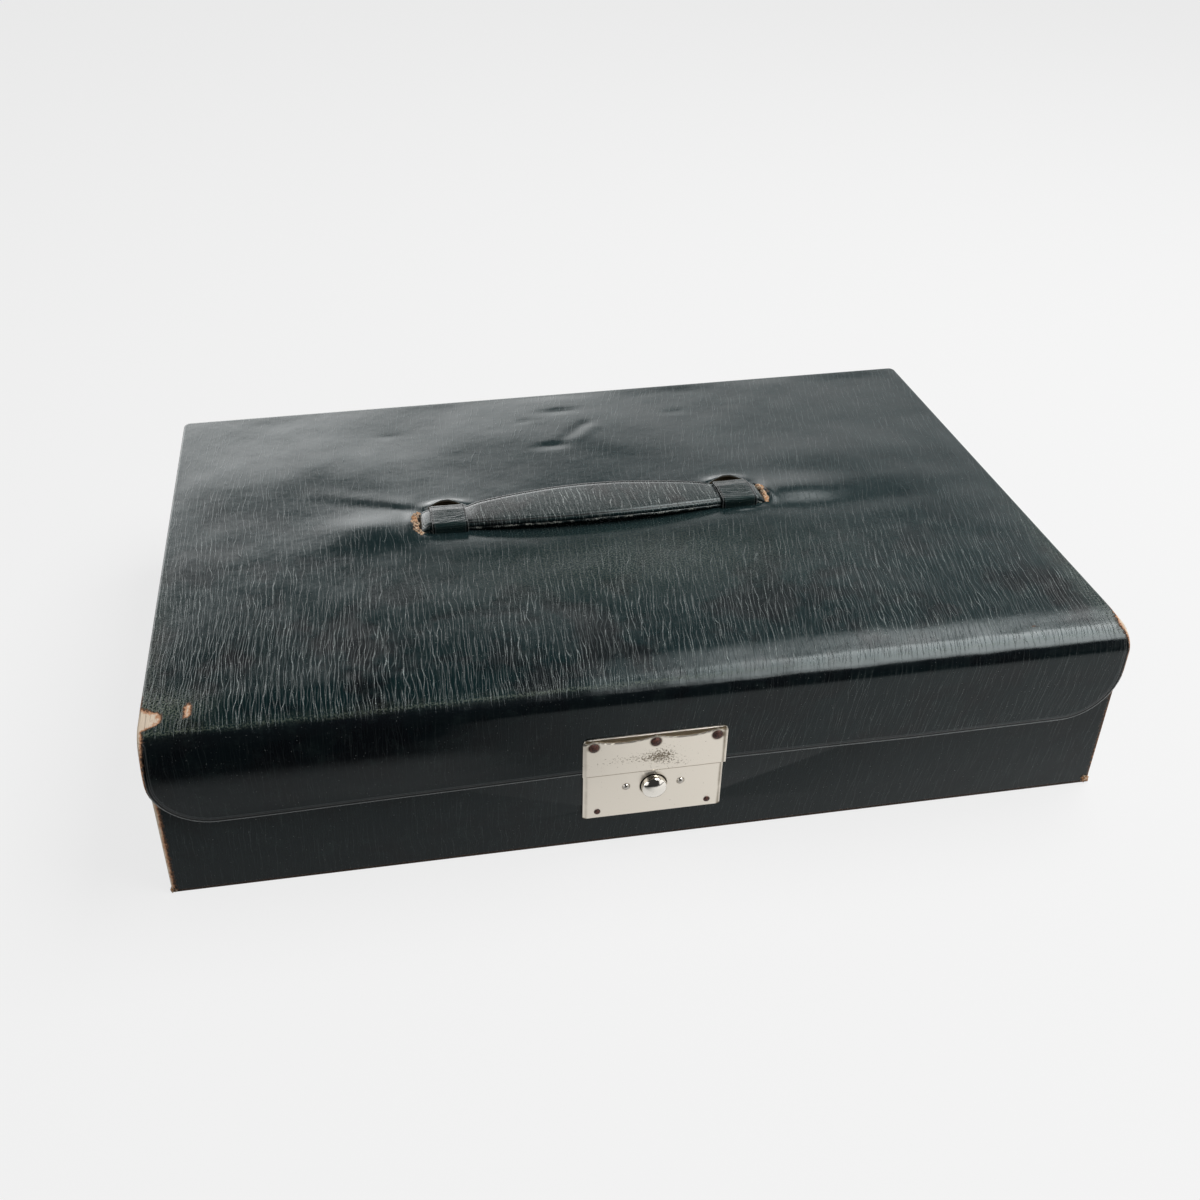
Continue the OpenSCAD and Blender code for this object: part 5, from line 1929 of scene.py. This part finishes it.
@dataclass
class Studio:
    """Pale floor, white surroundings, soft lamps and the camera of the photograph."""

    eye: Triple = (-0.095853, -0.462103, 0.367489)
    ahead: Triple = (0.11934095, 0.83788743, -0.5326372)
    up: Triple = (0.08985181, 0.52515534, 0.84624968)
    lens: float = 38.705
    shift: Pair = (0.06228, -0.06393)
    floor_colour: str = "#f1f1f1"
    floor_glow: str = "#f5f5f5"
    backdrop: str = "#f3f3f3"
    fill_strength: float = 0.22
    room_strength: float = 0.04
    window_strength: float = 10.5

    def camera(self) -> None:
        """Sets the camera where the photograph was taken."""
        data = bpy.data.cameras.new("photo_camera")
        data.sensor_width = 36.0
        data.lens = self.lens
        data.shift_x, data.shift_y = self.shift
        data.clip_start, data.clip_end = 0.01, 50.0
        camera = bpy.data.objects.new("photo_camera", data)
        ahead, up = Vector(self.ahead).normalized(), Vector(self.up).normalized()
        right = ahead.cross(up).normalized()
        up = right.cross(ahead)
        turn = Matrix((right, up, -ahead)).transposed().to_4x4()
        camera.matrix_world = Matrix.Translation(Vector(self.eye)) @ turn
        bpy.context.scene.collection.objects.link(camera)
        bpy.context.scene.camera = camera

    def floor(self) -> None:
        """A wide pale floor that shows white and keeps the shadow; in reflections it glows, with painted light and
        shade in fixed zones.
        """
        floor = begin("studio_floor", bpy.ops.mesh.primitive_plane_add, size=24, location=(0, 0, -0.0002))
        paper = bpy.data.materials.new("matt_white_paper")
        add = blank_tree(paper)
        path = add("LightPath")
        smooth = partial(add, "MapRange", interpolation_type="SMOOTHSTEP")
        across, near, _ = add("SeparateXYZ", add("TexCoord").outputs["Object"]).outputs
        times = partial(add, "Math", operation="MULTIPLY")
        # Painted light and shade, seen only in reflections: the floor's glow is dark far in front and in front of the
        # case's left half, and brighter towards the right
        lit = times(smooth(near, -0.45, -0.25, 0.04, 1.0), smooth(across, -0.2, 0.24, 0.74, 1.36))
        shade = add("Math", smooth(near, -0.205, -0.145, 0.06, 1.0), smooth(across, -0.12, 0.02), operation="MAXIMUM")
        glossy = path.outputs["Is Glossy Ray"]
        level = add("Mix", glossy, 1.0, times(lit, shade))
        seen = add("Math", times(path.outputs["Is Camera Ray"], 0.85), glossy, operation="MAXIMUM")
        matt, glow = add("BsdfDiffuse", linear(self.floor_colour)), add("Emission", linear(self.floor_glow), level)
        add("OutputMaterial", add("MixShader", seen, matt, glow))
        floor.data.materials.append(paper)

    def world(self) -> None:
        """White round the case for the eye, and a room for reflections.

        Reflections see a bright low backdrop behind and beside the case, brightest at the left, a
        long window high up at the right, two pale walls beside the camera that only round metal
        reflects, and a dim room elsewhere, all in fixed directions.
        """
        world = bpy.data.worlds.new("white_studio")
        bpy.context.scene.world = world
        add = blank_tree(world)
        smooth = partial(add, "MapRange", interpolation_type="SMOOTHSTEP")
        right, back, up = add("SeparateXYZ", add("TexCoord").outputs["Generated"]).outputs
        sweep = add("Math", smooth(up, 0.61, 0.43), smooth(back, -0.5, 0.1), operation="MULTIPLY")
        left = smooth(right, 0.42, -0.12, 1.15, 4.3)
        level = add("Math", sweep, left, self.room_strength, operation="MULTIPLY_ADD")
        pane = add("MapRange", up, 0.2, 0.4, 0.0, self.window_strength)
        for over, sill, head in ((right, (0.18, 0.42), (0.95, 0.75)), (back, (-0.8, -0.65), (1.12, 0.58))):
            slant = add("Math", over, up, operation="DIVIDE")
            for edge in (sill, head):
                pane = add("Math", pane, smooth(slant, *edge), operation="MULTIPLY")
        beside = smooth(add("Math", right, operation="ABSOLUTE"), 0.52, 0.62)
        low = add("Math", smooth(up, 0.62, 0.5), smooth(back, 0.0, -0.3), operation="MULTIPLY")
        walls = add("Math", beside, low, operation="MULTIPLY")
        room = add("Math", walls, 1.3, add("Math", level, pane, operation="ADD"), operation="MULTIPLY_ADD")
        path = add("LightPath").outputs
        strength = add("Mix", path["Is Glossy Ray"], self.fill_strength, room)
        shown = add("Math", path["Is Camera Ray"], path["Is Transmission Ray"], operation="MAXIMUM")
        soft = add("Background", linear("#ffffff"), strength)
        white = add("Background", linear(self.backdrop), 1.0)
        add("OutputWorld", add("MixShader", shown, soft, white))

    def lamp(self, name: str, place: Triple, size: Pair, power: float) -> None:
        """A soft rectangular lamp that faces the case.

        Args:
            name: the lamp's name.
            place: where it stands, in metres.
            size: its two sides.
            power: its power in watts.
        """
        data = bpy.data.lights.new(name, "AREA")
        data.shape = "RECTANGLE"
        data.size, data.size_y = size
        data.energy = power
        lamp = bpy.data.objects.new(name, data)
        lamp.location = place
        lamp.rotation_euler = (Vector((0, 0, 0.05)) - Vector(place)).to_track_quat("-Z", "Y").to_euler()
        bpy.context.scene.collection.objects.link(lamp)

    def build(self) -> None:
        """Builds the studio and sets the plain view."""
        self.camera()
        self.floor()
        self.world()
        self.lamp("soft_box_right", (0.6, -0.02, 1.15), (1.25, 0.72), 15.5)
        bpy.context.scene.view_settings.view_transform = "Standard"


def main() -> None:
    """Builds the studio and the case."""
    logging.basicConfig(level=logging.INFO, format="%(message)s")
    bpy.ops.object.select_all(action="DESELECT")
    Studio().build()
    Lid().build()
    Base().build()
    Lock().build()
    Hinges().build()
    Handle().build()


if __name__ == "__main__":
    main()
